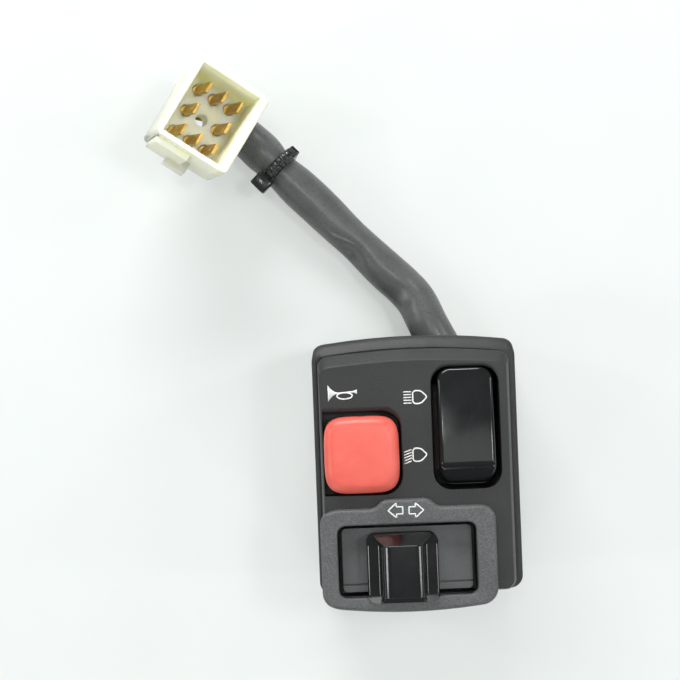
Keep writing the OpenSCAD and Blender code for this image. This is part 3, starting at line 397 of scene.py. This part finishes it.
# Stamped brass is yellow and a little tarnished, plated and drawn steel are bright, black zinc is dull
BRASS = worked_metal("stamped_brass", "#d9b768", "#b8944b", 0.46, 1.2)
STEEL = worked_metal("zinc_plated_steel", "#c4c8cc", "#9ea3a8", 0.3, 1.5)
BLACK_ZINC = worked_metal("black_zinc_steel", "#2b2c2e", "#1c1d1e", 0.42, 1.2)
SPRING_STEEL = worked_metal("drawn_spring_steel", "#c8ccd0", "#8f9499", 0.25, 0.6)
# Brown boards, slippery acetal, dull rubber and flat white ink
BOARD = moulded_polymer("phenolic_paper_board", "#2e1c11", "#3d2718", 0.45, 2, 0.02)
ACETAL = moulded_polymer("natural_acetal", "#d8d2c0", "#e4dfce", 0.35, 4, 0.01)
BLACK_ACETAL = moulded_polymer("black_acetal", "#141516", "#1c1d1e", 0.35, 4, 0.01)
RUBBER = moulded_polymer("black_rubber", "#2a2b2b", "#333434", 0.6, 2, 0.03)
INK = moulded_polymer("white_pad_print_ink", "#e9edec", "#f7faf9", 0.5, 0.6, 0.01)
LEAD_PVC = lead_insulation()

NODE_FINISH = {
    STEEL: ["clamp_screws", "dip_pivot_pins", "detent_ball"],
    BLACK_ZINC: ["board_screws"],
    SPRING_STEEL: ["horn_spring", "dip_spring", "detent_spring", "horn_clip"],
    BRASS: ["clamp_inserts", "horn_contact_bridge", "horn_contacts", "dip_contact_blade", "dip_terminals",
            "indicator_contact_bridge", "indicator_terminals"],
    BOARD: ["horn_base", "dip_base", "indicator_base"],
    ACETAL: ["dip_plunger"],
    BLACK_ACETAL: ["indicator_carriage"],
}


def finish_nodes():
    """Each node that no piece stands for gets its own finish."""
    for finish, nodes in NODE_FINISH.items():
        for name in nodes:
            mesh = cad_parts[name].data
            mesh.materials.clear()
            mesh.materials.append(finish)


# Cable

SLEEVE_R, SLEEVE_WALL = 5.0, 0.9
SLEEVE_SIDES, SLEEVE_STEPS = 72, 16
# The open end: its bore's depth, how far the rim's middle lies inside the outer side, and the share of a step that it
# stands out
BORE_L, RIM_IN, RIM_OUT = 8, 0.4, 0.05
EXIT_AT = np.array([10, 19.6, -5.9])
EXIT_WAY = np.array([-np.sin(radians(27)), np.cos(radians(27)), 0])
SLEEVE_ROUTE = np.vstack([
    EXIT_AT + np.outer([0, 4.5, 11], EXIT_WAY),
    [[2.2, 35.6, -7.5], [-1, 39.6, -8.8], [-5.2, 43.7, -9.4], [-13.4, 52, -9.5], [-20.2, 59.2, -9.4],
     [-26.2, 65.2, -9], [-31, 70, -8.7], [-34.4, 73.8, -9], [-38, 77.4, -9.5], [-41, 79.6, -9.5]]])
# The sleeve's size at each point of its route, which is less where it is creased and under the tie
SLEEVE_SIZE = np.array([1, 1, 1, 1, 1, 1, 0.94, 1, 1, 0.88, 1, 0.98, 1])
# Dents: the place on the route, the angle, the length, the width in degrees and the depth, which is less than 0 for a
# ridge
DENTS = [(5.75, 138, 4.2, 36, 1.7), (5.9, 78, 5.0, 26, -0.3), (3.3, 122, 5.0, 32, 0.6), (3.6, 66, 6.0, 26, -0.15),
         (6.6, 120, 8.0, 30, -0.25), (8.3, 88, 5.0, 40, 0.2)]
# The cord's path takes one point in so many of the sleeve's
CORD_STEP = 8


def make_sleeve():
    """A tube on the route: its radius follows the route's sizes, less smooth dents, each a bump of two Gaussians in
    length and angle, and its far end is open, with a bore that runs back into it."""
    path = smooth_line(SLEEVE_ROUTE, SLEEVE_STEPS)
    size = smooth_line(SLEEVE_SIZE[:, None], SLEEVE_STEPS)
    run = run_along(path)
    turn = np.linspace(0, 360, SLEEVE_SIDES, endpoint=False)
    radius = SLEEVE_R * size * np.ones(SLEEVE_SIDES)
    for step, angle, length, width, depth in DENTS:
        off = (turn - angle + 180) % 360 - 180
        at = run[int(step * SLEEVE_STEPS)]
        radius -= depth * np.exp(-((run[:, None] - at) / length) ** 2 - (off / width) ** 2)
    outer = tube(path, radius, SLEEVE_SIDES, UP)
    back = np.searchsorted(run, run[-1] - BORE_L)
    bore = tube(path[back:], radius[back:] - SLEEVE_WALL, SLEEVE_SIDES, UP)[::-1]
    rim = tube(path[-2:] + (path[-1] - path[-2]) * RIM_OUT, radius[-2:] - RIM_IN, SLEEVE_SIDES, UP)[-1:]
    points, faces = skin(np.vstack([outer, rim, bore])[:, ::-1])
    piece = add_piece("cable_sleeve_tube", points, faces, "housing", SLEEVE_PVC, ["cable_sleeve"])
    return piece, path[::CORD_STEP]


# The tie lies at this point of the route, a little clear of the sleeve
TIE_POINT, TIE_GAP = 9, 0.05
STRAP_W, STRAP_T, STRAP_EDGE, STRAP_STEPS = 3.0, 1.2, 0.3, 144
# Teeth on the strap's outer side: steps in each, rise for a step, half width, the bar's height where they start, and
# the sine of the angle below which the strap is plain
TOOTH_STEPS, TOOTH_RISE, TOOTH_HALF_W, TOOTH_FROM, PLAIN_BELOW = 5, 0.2, 1.3, 0.8, -0.3
# The head: half its sizes, its corner and its layers as outward place and inset, how far it stands off, and the angle
# and the arm by which it sits higher on the sleeve
HEAD_SHAPE = (1.7, 2.2, 0.6, 4)
HEAD_LAYERS = [(0, 0.35), (0.12, 0.1), (0.4, 0), (3.2, 0), (3.5, 0.12), (3.6, 0.4)]
HEAD_OFF, HEAD_RISE, HEAD_ARM = 0.5, radians(35), 2.3
# The cut tail on the other side, in the same way, and how much higher than the sleeve's middle it lies
TAIL_SHAPE = (0.45, 1.3, 0.2, 3)
TAIL_LAYERS = [(0.2, 0), (1.9, 0), (2.1, 0.1), (2.2, 0.25)]
TAIL_UP = 0.6


def make_tie():
    """A toothed strap, a rounded bar carried round the sleeve, with a ratchet head on its outer side and a cut tail
    on the other."""
    at = SLEEVE_ROUTE[TIE_POINT]
    way = unit((SLEEVE_ROUTE[TIE_POINT + 1] - SLEEVE_ROUTE[TIE_POINT - 1]) * [1, 1, 0])
    left = np.cross(UP, way)
    axes = np.array([UP, way, left])
    inner = SLEEVE_SIZE[TIE_POINT] * SLEEVE_R + TIE_GAP
    turn = np.linspace(0, 2 * np.pi, STRAP_STEPS, endpoint=False)
    saw = np.abs(turn * STRAP_STEPS / (2 * np.pi) % TOOTH_STEPS - TOOTH_STEPS / 2)
    tooth = TOOTH_RISE * saw * (np.sin(turn) > PLAIN_BELOW)
    bar = outline(block(-STRAP_W / 2, STRAP_W / 2, 0, STRAP_T, STRAP_EDGE), 3)
    toothed = (bar[:, 1] > TOOTH_FROM) & (np.abs(bar[:, 0]) < TOOTH_HALF_W)
    lift = inner + bar[:, 1] + tooth[:, None] * toothed
    out = np.cos(turn)[:, None] * left + np.sin(turn)[:, None] * UP
    loops = at + lift[..., None] * out[:, None] + bar[:, :1] * way
    i = np.arange(lift.size).reshape(lift.shape)
    quads = np.stack([i, np.roll(i, -1, 1), np.roll(i, (-1, -1), (0, 1)), np.roll(i, -1, 0)], -1)
    strap = add_piece("cable_tie_strap", loops.reshape(-1, 3), quads.reshape(-1, 4).tolist(), "housing",
                      TIE_NYLON)
    head = layered(*HEAD_SHAPE, [(inner + HEAD_OFF + h, d) for h, d in HEAD_LAYERS])
    higher = at + (inner + HEAD_ARM) * ((np.cos(HEAD_RISE) - 1) * left + np.sin(HEAD_RISE) * UP)
    points, faces = skin(higher + head @ axes)
    box = add_piece("cable_tie_head", points, faces, "housing", TIE_NYLON, ["cable_tie"])
    end = layered(*TAIL_SHAPE, [(-inner - h, d) for h, d in TAIL_LAYERS])
    points, faces = skin((at + TAIL_UP * UP + end @ axes)[:, ::-1])
    tail = add_piece("cable_tie_tail", points, faces, "housing", TIE_NYLON)
    return [box, tail, strap]


# The connector's mouth and turns, from the part's source
CONNECTOR_AT = np.array([-45, 80.8, 18.3])
CONNECTOR_LEAN, CONNECTOR_TILT, CONNECTOR_SPIN = np.radians([-2.2, 15.5, -31.1])
SOCKET_L, CELL_W, CELL_H = 13, 4.4, 5.9
BLADE_LEAN, BLADE_SKEW = radians(6), 0.1
# The wall that is drawn thicker: it starts to move at this distance from the middle, and moves fully so much further
# out
WALL_FROM, WALL_EASE = 8.1, 0.7
# No edge of the connector is rounded in this box, round its back
CONNECTOR_BACK = np.array([(-70, 60, 0), (-20, 105, 9)])
# Leads: where they leave the connector's back and how deep they sit in it, how far they run straight out of it and
# into the sleeve, and the ring that they form in the sleeve's mouth
LEAD_R, LEAD_SIDES, LEAD_STEPS = 0.7, 14, 41
LEAD_BACK, LEAD_SEAT, LEAD_OUT = 20.6, 2.1, 3
LEAD_RING, MOUTH_GAP, MOUTH_IN, MOUTH_OUT = 2.7, 1.2, 4, 6
LEAD_COLOURS = ["#7a4a26", "#c9a02a", "#1d5a35", "#2b4f94", "#b9bcb8", "#8a2320", "#d9dbd6", "#2a2a2b"]


def connector_axes():
    """The connector's own directions: out of its mouth, along its longer side and along its shorter side."""
    lean, tilt, spin = CONNECTOR_LEAN, CONNECTOR_TILT, CONNECTOR_SPIN
    rest = np.array([[np.cos(lean), -np.sin(lean), 0], [np.sin(lean), np.cos(lean), 0], [0, 0, 1]])
    out = rest @ [np.sin(tilt), 0, np.cos(tilt)]
    side = rest @ [-np.sin(spin) * np.cos(tilt), np.cos(spin), np.sin(spin) * np.sin(tilt)]
    return out, side, np.cross(side, out)


def lean_blades(at):
    """The blades lean in their cavities, as loose terminals do: a point above the socket's floor moves sideways by its
    height there times the lean's tangent."""
    out, side, across = connector_axes()
    rise = np.maximum((at - CONNECTOR_AT) @ out + SOCKET_L, 0)
    return at + np.tan(BLADE_LEAN) * rise[:, None] * unit(across - BLADE_SKEW * side)


def thicken_wall(at):
    """The connector's wall towards the cluster is 1 mm thicker outside, as in the photo: points in its outer 0.3 mm
    move out, and those in the rest of its thickness by less."""
    _, _, across = connector_axes()
    share = np.clip(((at - CONNECTOR_AT) @ across - WALL_FROM) / WALL_EASE, 0, 1)
    return at + share[:, None] * across


def make_leads():
    """Eight leads, each on a cubic curve from its cavity at the connector's back to its place in a ring at the
    sleeve's mouth: straight out of the cavity at one end and straight into the mouth at the other."""
    out, side, across = connector_axes()
    into = unit(SLEEVE_ROUTE[-1] - SLEEVE_ROUTE[-2])
    mouth_across = unit(np.cross(into, UP))
    mouth_up = np.cross(mouth_across, into)
    mouth = SLEEVE_ROUTE[-1] + MOUTH_GAP * into
    cell = np.array([(i, j) for i in (-1, 0, 1) for j in (-1, 0, 1) if i or j], float)
    turn = np.pi / 2 - np.arctan2(cell[:, 1], cell[:, 0])
    start = CONNECTOR_AT - LEAD_BACK * out + CELL_W * cell[:, :1] * across + CELL_H * cell[:, 1:] * side
    end = mouth + LEAD_RING * (np.cos(turn)[:, None] * mouth_across + np.sin(turn)[:, None] * mouth_up)
    t = np.linspace(0, 1, LEAD_STEPS)[:, None, None]
    line = ((1 - t) ** 3 * start + 3 * t * (1 - t) ** 2 * (start - LEAD_OUT * out)
            + 3 * t * t * (1 - t) * (end + MOUTH_OUT * into) + t ** 3 * end)
    line = np.concatenate([start[None] + LEAD_SEAT * out, line, end[None] - MOUTH_IN * into])
    rings = np.array([tube(line[:, k], LEAD_R, LEAD_SIDES, side)[:, ::-1] for k in range(len(cell))])
    points, faces = skin(rings[0])
    count = len(points)
    every = [[v + k * count for v in face] for k in range(len(cell)) for face in faces]
    piece = add_piece("lead_bundle", rings.reshape(-1, 3), every, "housing", LEAD_PVC,
                      ["connector_leads"])
    shades = np.repeat([linear(c) for c in LEAD_COLOURS], count, 0)
    piece.data.attributes.new("lead_colour", "FLOAT_COLOR", "POINT").data.foreach_set("color", shades.ravel())
    return piece


set_camera()
finish_nodes()
sleeve, sleeve_line = make_sleeve()
tie = make_tie()
shell = dressed("connector_shell", "housing", CREAM_NYLON, 0.3, 3, [CONNECTOR_BACK], thicken_wall)
blades = dressed("connector_terminals", "housing", BRASS, 0.12, reshape=lean_blades)
leads = make_leads()


# Casing and switches

# The front casing's top edge is crowned by this much of x squared. Its groove lies at one level and is drawn at another
CROWN = 0.0031
GROOVE_Z, GROOVE_DRAWN_Z, GROOVE_NEAR = 17.3, 17.8, 0.01
# The inner tier stands above this level, and its top side moves along y as listed
TIER_Z = 17.05
TIER_Y, TIER_MOVE = [19.9, 24.9, 25.3, 26], [0, -1, -1, 0]
# The shoulder falls away by FALL: more from FALL_Y on towards the edge, over FALL_L, and only between two levels
FALL, FALL_Y, FALL_L = 1.4, 24.3, 2.4
FALL_LOW_Z, FALL_EASE, FALL_HIGH_Z = 12, 4, 18.1
# The lips of the horn's and the rocker's recesses, left and right of LIP_X: level, and how far they rise
LIP_X, HORN_LIP_Z, HORN_LIP_UP, ROCKER_LIP_Z, ROCKER_LIP_UP = 2, 25.9, 0.6, 26.3, 0.35
LIP_NEAR = 0.02
# No edge of the front casing is rounded in these boxes: the thin lip beside the horn button, and the groove
THIN_LIP = np.array([(-22.4, -11, 19), (-21.2, 13, 28)])
GROOVE = np.array([(-30, -40, 17.2), (30, 40, 18.05)])
# The grommet's outer end, and how far it is sunk
GROMMET_END_Y, GROMMET_SUNK = 26.5, 1.2
# The bezel's left side: its width as far as the window, the part of it over which the move eases in, and the move
FRAME_W, FRAME_EASE, FRAME_MOVE = 3.2, 2.4, 0.7


def soften_shoulder(at):
    """The casing's shoulder: its groove is drawn shallower, the inner tier's top side moves in by up to 1 mm, and the
    shoulder there falls away towards the crowned edge. The sloping lips of the horn's and the rocker's recesses are
    drawn flatter, so that they catch the light."""
    x, y, z = at.T
    crown = CROWN * x * x
    y = y + np.interp(y + crown, TIER_Y, TIER_MOVE) * (z > TIER_Z)
    outward = np.clip((y + crown - FALL_Y) / FALL_L, 0, 1)
    share = outward * np.clip((z - FALL_LOW_Z) / FALL_EASE, 0, 1) * (z < FALL_HIGH_Z)
    lip = (HORN_LIP_UP * (np.abs(z - HORN_LIP_Z) < LIP_NEAR) * (x < LIP_X)
           + ROCKER_LIP_UP * (np.abs(z - ROCKER_LIP_Z) < LIP_NEAR) * (x > LIP_X))
    return np.c_[x, y, np.where(np.abs(z - GROOVE_Z) < GROOVE_NEAR, GROOVE_DRAWN_Z, z - FALL * share + lip)]


def sink_grommet(at):
    """The grommet's outer end lies lower, just inside the crowned top wall."""
    return at - [0, GROMMET_SUNK, 0] * (at[:, 1:2] > GROMMET_END_Y)


def widen_frame(at):
    """The bezel's left side reaches further out, over the inner tier's edge: the move eases in from the window's side
    to 0.8 mm from the bezel's edge."""
    share = ease((FRAME_W - at[:, 0] + at[:, 0].min()) / FRAME_EASE)
    return at - np.outer(share, [FRAME_MOVE, 0, 0])


def make_casing():
    """The moulded halves, the grommet, the bezel and the floor plate, from the part's own solids with rounded edges;
    the thin lip beside the horn button and the groove between the tiers keep their sharp edges."""
    dressed("front_casing", "housing", CASING, 0.25, 2, [THIN_LIP, GROOVE], soften_shoulder)
    dressed("rear_casing", "housing", CASING, 0.3)
    dressed("cable_grommet", "housing", RUBBER, 0.15, reshape=sink_grommet)
    dressed("indicator_bezel", "housing", BEZEL, 0.15, reshape=widen_frame)
    dressed("indicator_floor", "housing", PLATE, 0.12)


HORN_POWER, HORN_POINTS, HORN_LOOPS = 4.4, 224, 70
# The rim's radius and the share of it that is drawn, the dome's height at the middle of a side, and two levels of the
# skirt under the top
HORN_RIM, HORN_RIM_SHARE, HORN_DOME, HORN_SKIRT = 2.4, 0.85, 0.3, (7.3, 3.5)
# The step along the lower rim: its depth, its distance inside the rim and its steepness
STEP_T, STEP_IN, STEP_SHARP = 0.1, 1.25, 9


def make_horn_button():
    """A pillow: a square whose sides bulge, a superellipse of power HORN_POWER, with a quarter-round rim, a shallow
    dome on top and a faint step along the lower rim."""
    low, high = (np.array(p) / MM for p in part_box("horn_button"))
    mid, half = (low + high)[:2] / 2, (high - low)[:2] / 2
    a = np.linspace(0, 2 * np.pi, 720, endpoint=False)
    circle = np.c_[np.cos(a), np.sin(a)]
    line = even(mid + half * np.sign(circle) * np.abs(circle) ** (2 / HORN_POWER), HORN_POINTS)

    def height(px, py):
        u, v = np.abs(px - mid[0]) / half[0], np.abs(py - mid[1]) / half[1]
        rim = (1 - (u ** HORN_POWER + v ** HORN_POWER) ** (1 / HORN_POWER)) * half[0]
        dome = HORN_DOME * (u * u + v * v)
        lower = np.clip(-(py - mid[1]) / half[1] * 2 - 0.6, 0, 1)
        step = STEP_T / (1 + np.exp((rim - STEP_IN) * STEP_SHARP)) * lower
        return high[2] - dome - step - quarter_round(rim, HORN_RIM) * HORN_RIM_SHARE
    skirt = [level(line, high[2] - z) for z in HORN_SKIRT]
    points, faces = skin(np.vstack([*skirt, moulding(line, height, HORN_LOOPS)]))
    add_piece("horn_button_cap", points, faces, "horn", HORN_RED, ["horn_button"])


# The rocker's pivot, its tilt at rest, half its width and length, its corner, and levels above the pivot
ROCKER_AT, ROCKER_TILT = np.array([11.125, 5.4, 22.4]), radians(-7)
ROCKER_W, ROCKER_L, ROCKER_CORNER = 6.425, 13.3, 3.2
ROCKER_TOP, ROCKER_LOW, ROCKER_SKIRT = 7.15, 2.3, (2.2, 2.25)
# The round of its edges, the crown along and across it, and the slope at its lower end, which passes a point
ROCKER_EDGE, CROWN_Y, CROWN_ALONG, CROWN_ACROSS = 0.9, 1, 0.0035, 0.003
SLOPE_Y, SLOPE_Z, SLOPE = -9.2, 6.9, 1.05
ROCKER_POINTS, ROCKER_LOOPS, ROCKER_CROWD = 288, 110, 2.6


def make_rocker():
    """A bar tilted about its pivot: a slightly crowned top with quarter-round edges, and a long slope that bends down
    softly at its lower end."""
    line = even(outline(block(-ROCKER_W, ROCKER_W, -ROCKER_L, ROCKER_L, ROCKER_CORNER), 14), ROCKER_POINTS)

    def height(px, py):
        top = ROCKER_TOP - CROWN_ALONG * (py - CROWN_Y) ** 2 - CROWN_ACROSS * px ** 2
        slope = SLOPE_Z + (py - SLOPE_Y) * SLOPE
        rim = inside(px, py, ROCKER_W, ROCKER_L, ROCKER_CORNER)
        return np.maximum(smooth_min(top, slope, ROCKER_EDGE) - quarter_round(rim, ROCKER_EDGE), ROCKER_LOW)
    skirt = [level(line, z) for z in ROCKER_SKIRT]
    cap = moulding(line, height, ROCKER_LOOPS, ROCKER_CROWD)
    c, s = np.cos(ROCKER_TILT), np.sin(ROCKER_TILT)
    turn = np.array([[1, 0, 0], [0, c, -s], [0, s, c]])
    points, faces = skin(np.vstack([*skirt, cap]) @ turn.T + ROCKER_AT)
    add_piece("beam_rocker_cap", points, faces, "rocker", GLOSS_BLACK, ["dip_rocker"])


# The knob's levels, its corner, and its shoulder's radius and middle
KNOB_TOP, KNOB_LOW, KNOB_FOOT = 36.6, 29.4, 29.35
KNOB_CORNER, SHOULDER_R, SHOULDER_X = 2.2, 2, 2.75
KNOB_POINTS, KNOB_LOOPS, KNOB_CROWD = 320, 130, 1.5
# The flank below the shoulder, as distance from the middle and level, down to the flange's edge
FLANK = [(4.8, 34.2), (4.88, 33.4), (4.98, 32.5), (5.12, 31.8), (5.45, 31.35), (5.95, 31.2), (6.6, 31.1), (7.3, 31.0),
         (7.8, 30.85), (8.05, 30.6), (8.15, 30.2), (8.2, 29.4)]
# Distances along the knob from its middle: where it widens, where its slope, nose and lobes start, and its foot's end
WIDEN_Y, UPPER_Y, NOSE_Y, LOBE_Y, LOBE_RISE_Y, FOOT_Y = 5.6, 5.75, -5.95, -8, -6.2, -6.4
WIDEN, UPPER_SLOPE, NOSE_SLOPE, LOBE_Z, LOBE_SLOPE, LOBE_RISE = 0.75, 1.55, 9, 29.5, 0.6, 3
# The nose turns into a lobe from this distance off the middle, over this width
LOBE_FROM, LOBE_EASE = 4.55, 0.5
UPPER_EDGE, FRONT_EDGE = 0.2, 0.3


def make_knob():
    """A saddle-shaped slide: a flat-topped block with round shoulders, concave flanks that run out into a flange, a
    steep slope at its upper end, and at its lower end an upright nose between two round lobes."""
    low, high = (np.array(p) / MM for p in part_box("indicator_knob"))
    x, y = (low + high)[:2] / 2
    w, l = (high - low)[:2] / 2
    line = even(outline(block(x - w, x + w, y - l, y + l, KNOB_CORNER), 12), KNOB_POINTS)
    a = np.linspace(0, 1.45, 12)
    shoulder = np.c_[SHOULDER_X + SHOULDER_R * np.sin(a), KNOB_TOP - SHOULDER_R + SHOULDER_R * np.cos(a)]
    flank = np.vstack([[(-w, KNOB_TOP)], shoulder, smooth_line(FLANK, 8)])

    def height(px, py):
        along = py - y
        off = np.abs(px - x) - WIDEN * np.maximum(along - WIDEN_Y, 0)
        side = np.interp(off, flank[:, 0], flank[:, 1])
        upper = KNOB_TOP - (along - UPPER_Y) * UPPER_SLOPE
        nose = KNOB_TOP - (NOSE_Y - along) * NOSE_SLOPE
        lobe = LOBE_Z + LOBE_SLOPE * (along - LOBE_Y) + LOBE_RISE * np.maximum(along - LOBE_RISE_Y, 0)
        front = nose + (lobe - nose) * ease((off - LOBE_FROM) / LOBE_EASE)
        return np.maximum(smooth_min(smooth_min(side, upper, UPPER_EDGE), front, FRONT_EDGE), KNOB_LOW)
    under = np.c_[line[:, 0], np.maximum(line[:, 1], y + FOOT_Y)]
    foot = [level(under, low[2]), level(under, KNOB_FOOT), level(line, KNOB_FOOT)]
    points, faces = skin(np.vstack([*foot, moulding(line, height, KNOB_LOOPS, KNOB_CROWD)]))
    add_piece("indicator_knob_cap", points, faces, "slider", GLOSS_BLACK, ["indicator_knob"])


# Printed signs

# The ink's thickness, its lift off the face, and how far each shape lies over the one before
INK_T, INK_LIFT, INK_STEP = 0.05, 0.03, 0.003
STEM_LINE, RING_LINE, BEAM_LINE, ARROW_LINE = 0.34, 0.3, 0.26, 0.32
# Outlines as corners with a radius: the lamp of the beam signs, and an arrow to the left
LAMP = [(-1.6, -1.5, 0.75), (0.25, -1.5, 1.7), (1.72, 0, 0.45), (0.25, 1.5, 1.7), (-1.6, 1.5, 0.75)]
ARROW = [(-1.7, 0, 0.08), (0.2, -1.7, 0.08), (0.2, -0.82, 0.05), (1.65, -0.82, 0.05), (1.65, 0.82, 0.05),
         (0.2, 0.82, 0.05), (0.2, 1.7, 0.08)]
BEAM_ROWS = np.linspace(1.3, -1.3, 5)


def stroke(line, width, shut=False):
    """A flat ribbon along a line: each point is moved half the width to both sides along its normal."""
    p = np.asarray(line, float)
    way = unit(np.roll(p, -1, 0) - np.roll(p, 1, 0) if shut else np.gradient(p, axis=0))
    side = np.stack([-way[:, 1], way[:, 0]], -1) * width / 2
    n = len(p)
    i = np.arange(n if shut else n - 1)
    k = (i + 1) % n
    return np.vstack([p + side, p - side]), np.stack([i + n, k + n, k, i], -1).tolist()


def filled(line):
    """A flat shape inside a line."""
    return np.asarray(line, float), [list(range(len(line)))]


def printed(name, shapes, at, z):
    """Ink shapes at a place on the face, as one thin layer."""
    points, faces, count = [], [], 0
    for k, (p, f) in enumerate(shapes):
        points.append(np.c_[p + np.asarray(at), np.full(len(p), z + INK_LIFT + INK_STEP * k)])
        faces += [[i + count for i in one] for one in f]
        count += len(p)
    piece = add_piece(name, np.vstack(points), faces, "housing", INK)
    layer = piece.modifiers.new("ink_layer", "SOLIDIFY")
    layer.thickness = INK_T * MM
    layer.offset = 0


def make_signs():
    """Horn, high beam, low beam and the two turn arrows."""
    s = np.linspace(0, 1, 16)
    flare = np.c_[-3.28 + 2.3 * s, 0.16 + 1.74 * (1 - s) ** 1.9]
    bell = np.vstack([flare, (flare * [1, -1])[::-1]])
    a = np.linspace(0, 2 * np.pi, 64, endpoint=False)
    tubing = np.c_[0.55 + 1.75 * np.cos(a), -0.68 + 0.74 * np.sin(a)]
    printed("horn_sign", [filled(bell[::-1]), stroke([(-1.1, -0.02), (0.8, 0.06), (2.7, 0.22)], STEM_LINE),
                          filled([(2.5, 0.05), (3.45, -0.3), (3.42, 0.72), (2.55, 0.4)]),
                          stroke(tubing, RING_LINE, True)], (-17.1, 14.4), FACE_Z)
    lamp = even(outline(LAMP, 8), 96)
    for name, beam, lamp_at, at in [
            ("high_beam_sign", np.array([(-2.65, 0), (-0.8, 0)]), [1.1, 0], (-0.4, 12.8)),
            ("low_beam_sign", np.array([(-2.65, -0.62), (-0.9, 0)]), [1.0, 0.05], (-0.75, -0.5))]:
        rays = [stroke(beam + [0, row], BEAM_LINE) for row in BEAM_ROWS]
        printed(name, [*rays, stroke(lamp + lamp_at, RING_LINE, True)], at, FACE_Z)
    arrow = even(outline(ARROW, 3), 140)
    printed("left_arrow_sign", [stroke(arrow, ARROW_LINE, True)], (-5.9, -12.9), BEZEL_Z)
    printed("right_arrow_sign", [stroke((arrow * [-1, 1])[::-1], ARROW_LINE, True)], (-1.15, -13.0), BEZEL_Z)


make_casing()
make_horn_button()
make_rocker()
make_knob()
make_signs()


# Floor and light

FLOOR_HALF = 2  # m
FLOOR_GLOW = 0.42
# The room's strength at the horizon and overhead
ROOM_LOW, ROOM_HIGH = 0.22, 0.43
# Panels that face the origin: name, place and size in m, and radiance
PANELS = [
    ("panel_top", (-0.1, 0.6, 0.34), (0.4, 0.16), 18.0),
    ("panel_left", (-0.6, -0.1, 0.38), (0.05, 0.3), 13.0),
    ("panel_right", (0.6, -0.1, 0.38), (0.05, 0.3), 11.0),
    ("panel_upper_left", (-0.6, 0.23, 0.38), (0.07, 0.34), 8.0),
    ("panel_upper_right", (0.6, 0.23, 0.38), (0.07, 0.34), 9.0),
    ("panel_bottom", (-0.03, -0.62, 0.25), (0.12, 0.1), 4.5),
    ("panel_bottom_left", (-0.36, -0.5, 0.25), (0.12, 0.12), 11.0),
    ("panel_bottom_right", (0.36, -0.5, 0.25), (0.12, 0.12), 12.0),
    ("panel_lamp", (-0.1, 0.2, 1.1), (0.1, 0.1), 28.0),
    ("panel_over_connector", (0.42, 0.1, 1.05), (0.15, 0.15), 30.0),
    ("panel_above", (0.085, 0.03, 1.1), (0.26, 0.26), 1.1),
]


def set_floor():
    """Pale matte paper under the part, which keeps its shadow. It glows a little, but only to rays from the camera and
    from glossy or clear surfaces, so that it is pale and adds no light to the part."""
    mesh = bpy.data.meshes.new("floor")
    r, z = FLOOR_HALF, FLOOR_Z * MM
    mesh.from_pydata([(-r, -r, z), (r, -r, z), (r, r, z), (-r, r, z)], [], [(0, 1, 2, 3)])
    floor = bpy.data.objects.new("floor", mesh)
    scene.collection.objects.link(floor)
    paper, tree, shader, place = new_finish("white_paper_sweep", Roughness=0.85, Emission_Color=linear("#eff5f1"))
    fibre = add_node(tree, "ShaderNodeTexNoise",
                     {"Vector": place, "Scale": 1 / (FIBRE_W * MM), "Detail": 3.0}).outputs["Fac"]
    tint = add_node(tree, "ShaderNodeMix",
                    {0: fibre, 6: linear("#b1b4b3"), 7: linear("#b6b9b8")}, data_type="RGBA").outputs[2]
    ray = add_node(tree, "ShaderNodeLightPath", {}).outputs
    seen = add_node(tree, "ShaderNodeMath",
                    {0: ray["Is Camera Ray"], 1: ray["Is Glossy Ray"]}, operation="ADD").outputs[0]
    seen = add_node(tree, "ShaderNodeMath", {0: seen, 1: ray["Is Transmission Ray"]}, operation="MAXIMUM").outputs[0]
    glow = add_node(tree, "ShaderNodeMath", {0: seen, 1: FLOOR_GLOW}, operation="MULTIPLY").outputs[0]
    wire(tree, shader, {"Base Color": tint, "Emission Strength": glow})
    mesh.materials.append(paper)


def set_light():
    """Small bright panels for the lines on round edges, a dim one overhead for the sheen, and an even room that is
    brighter overhead."""
    for name, at, size, radiance in PANELS:
        data = bpy.data.lights.new(name, "AREA")
        data.shape = "RECTANGLE"
        data.size, data.size_y = size
        data.energy = radiance * np.pi * size[0] * size[1]
        panel = bpy.data.objects.new(name, data)
        panel.location = at
        panel.rotation_euler = panel.location.to_track_quat("Z", "Y").to_euler()
        scene.collection.objects.link(panel)
    world = bpy.data.worlds.new("even_room")
    scene.world = world
    world.use_nodes = True
    tree = world.node_tree
    way = add_node(tree, "ShaderNodeTexCoord", {}).outputs["Generated"]
    rise = add_node(tree, "ShaderNodeSeparateXYZ", {0: way}).outputs["Z"]
    strength = add_node(tree, "ShaderNodeMapRange", {0: rise, 3: ROOM_LOW, 4: ROOM_HIGH}).outputs[0]
    wire(tree, tree.nodes["Background"], {"Color": linear("#f2f5f6"), "Strength": strength})


set_floor()
set_light()
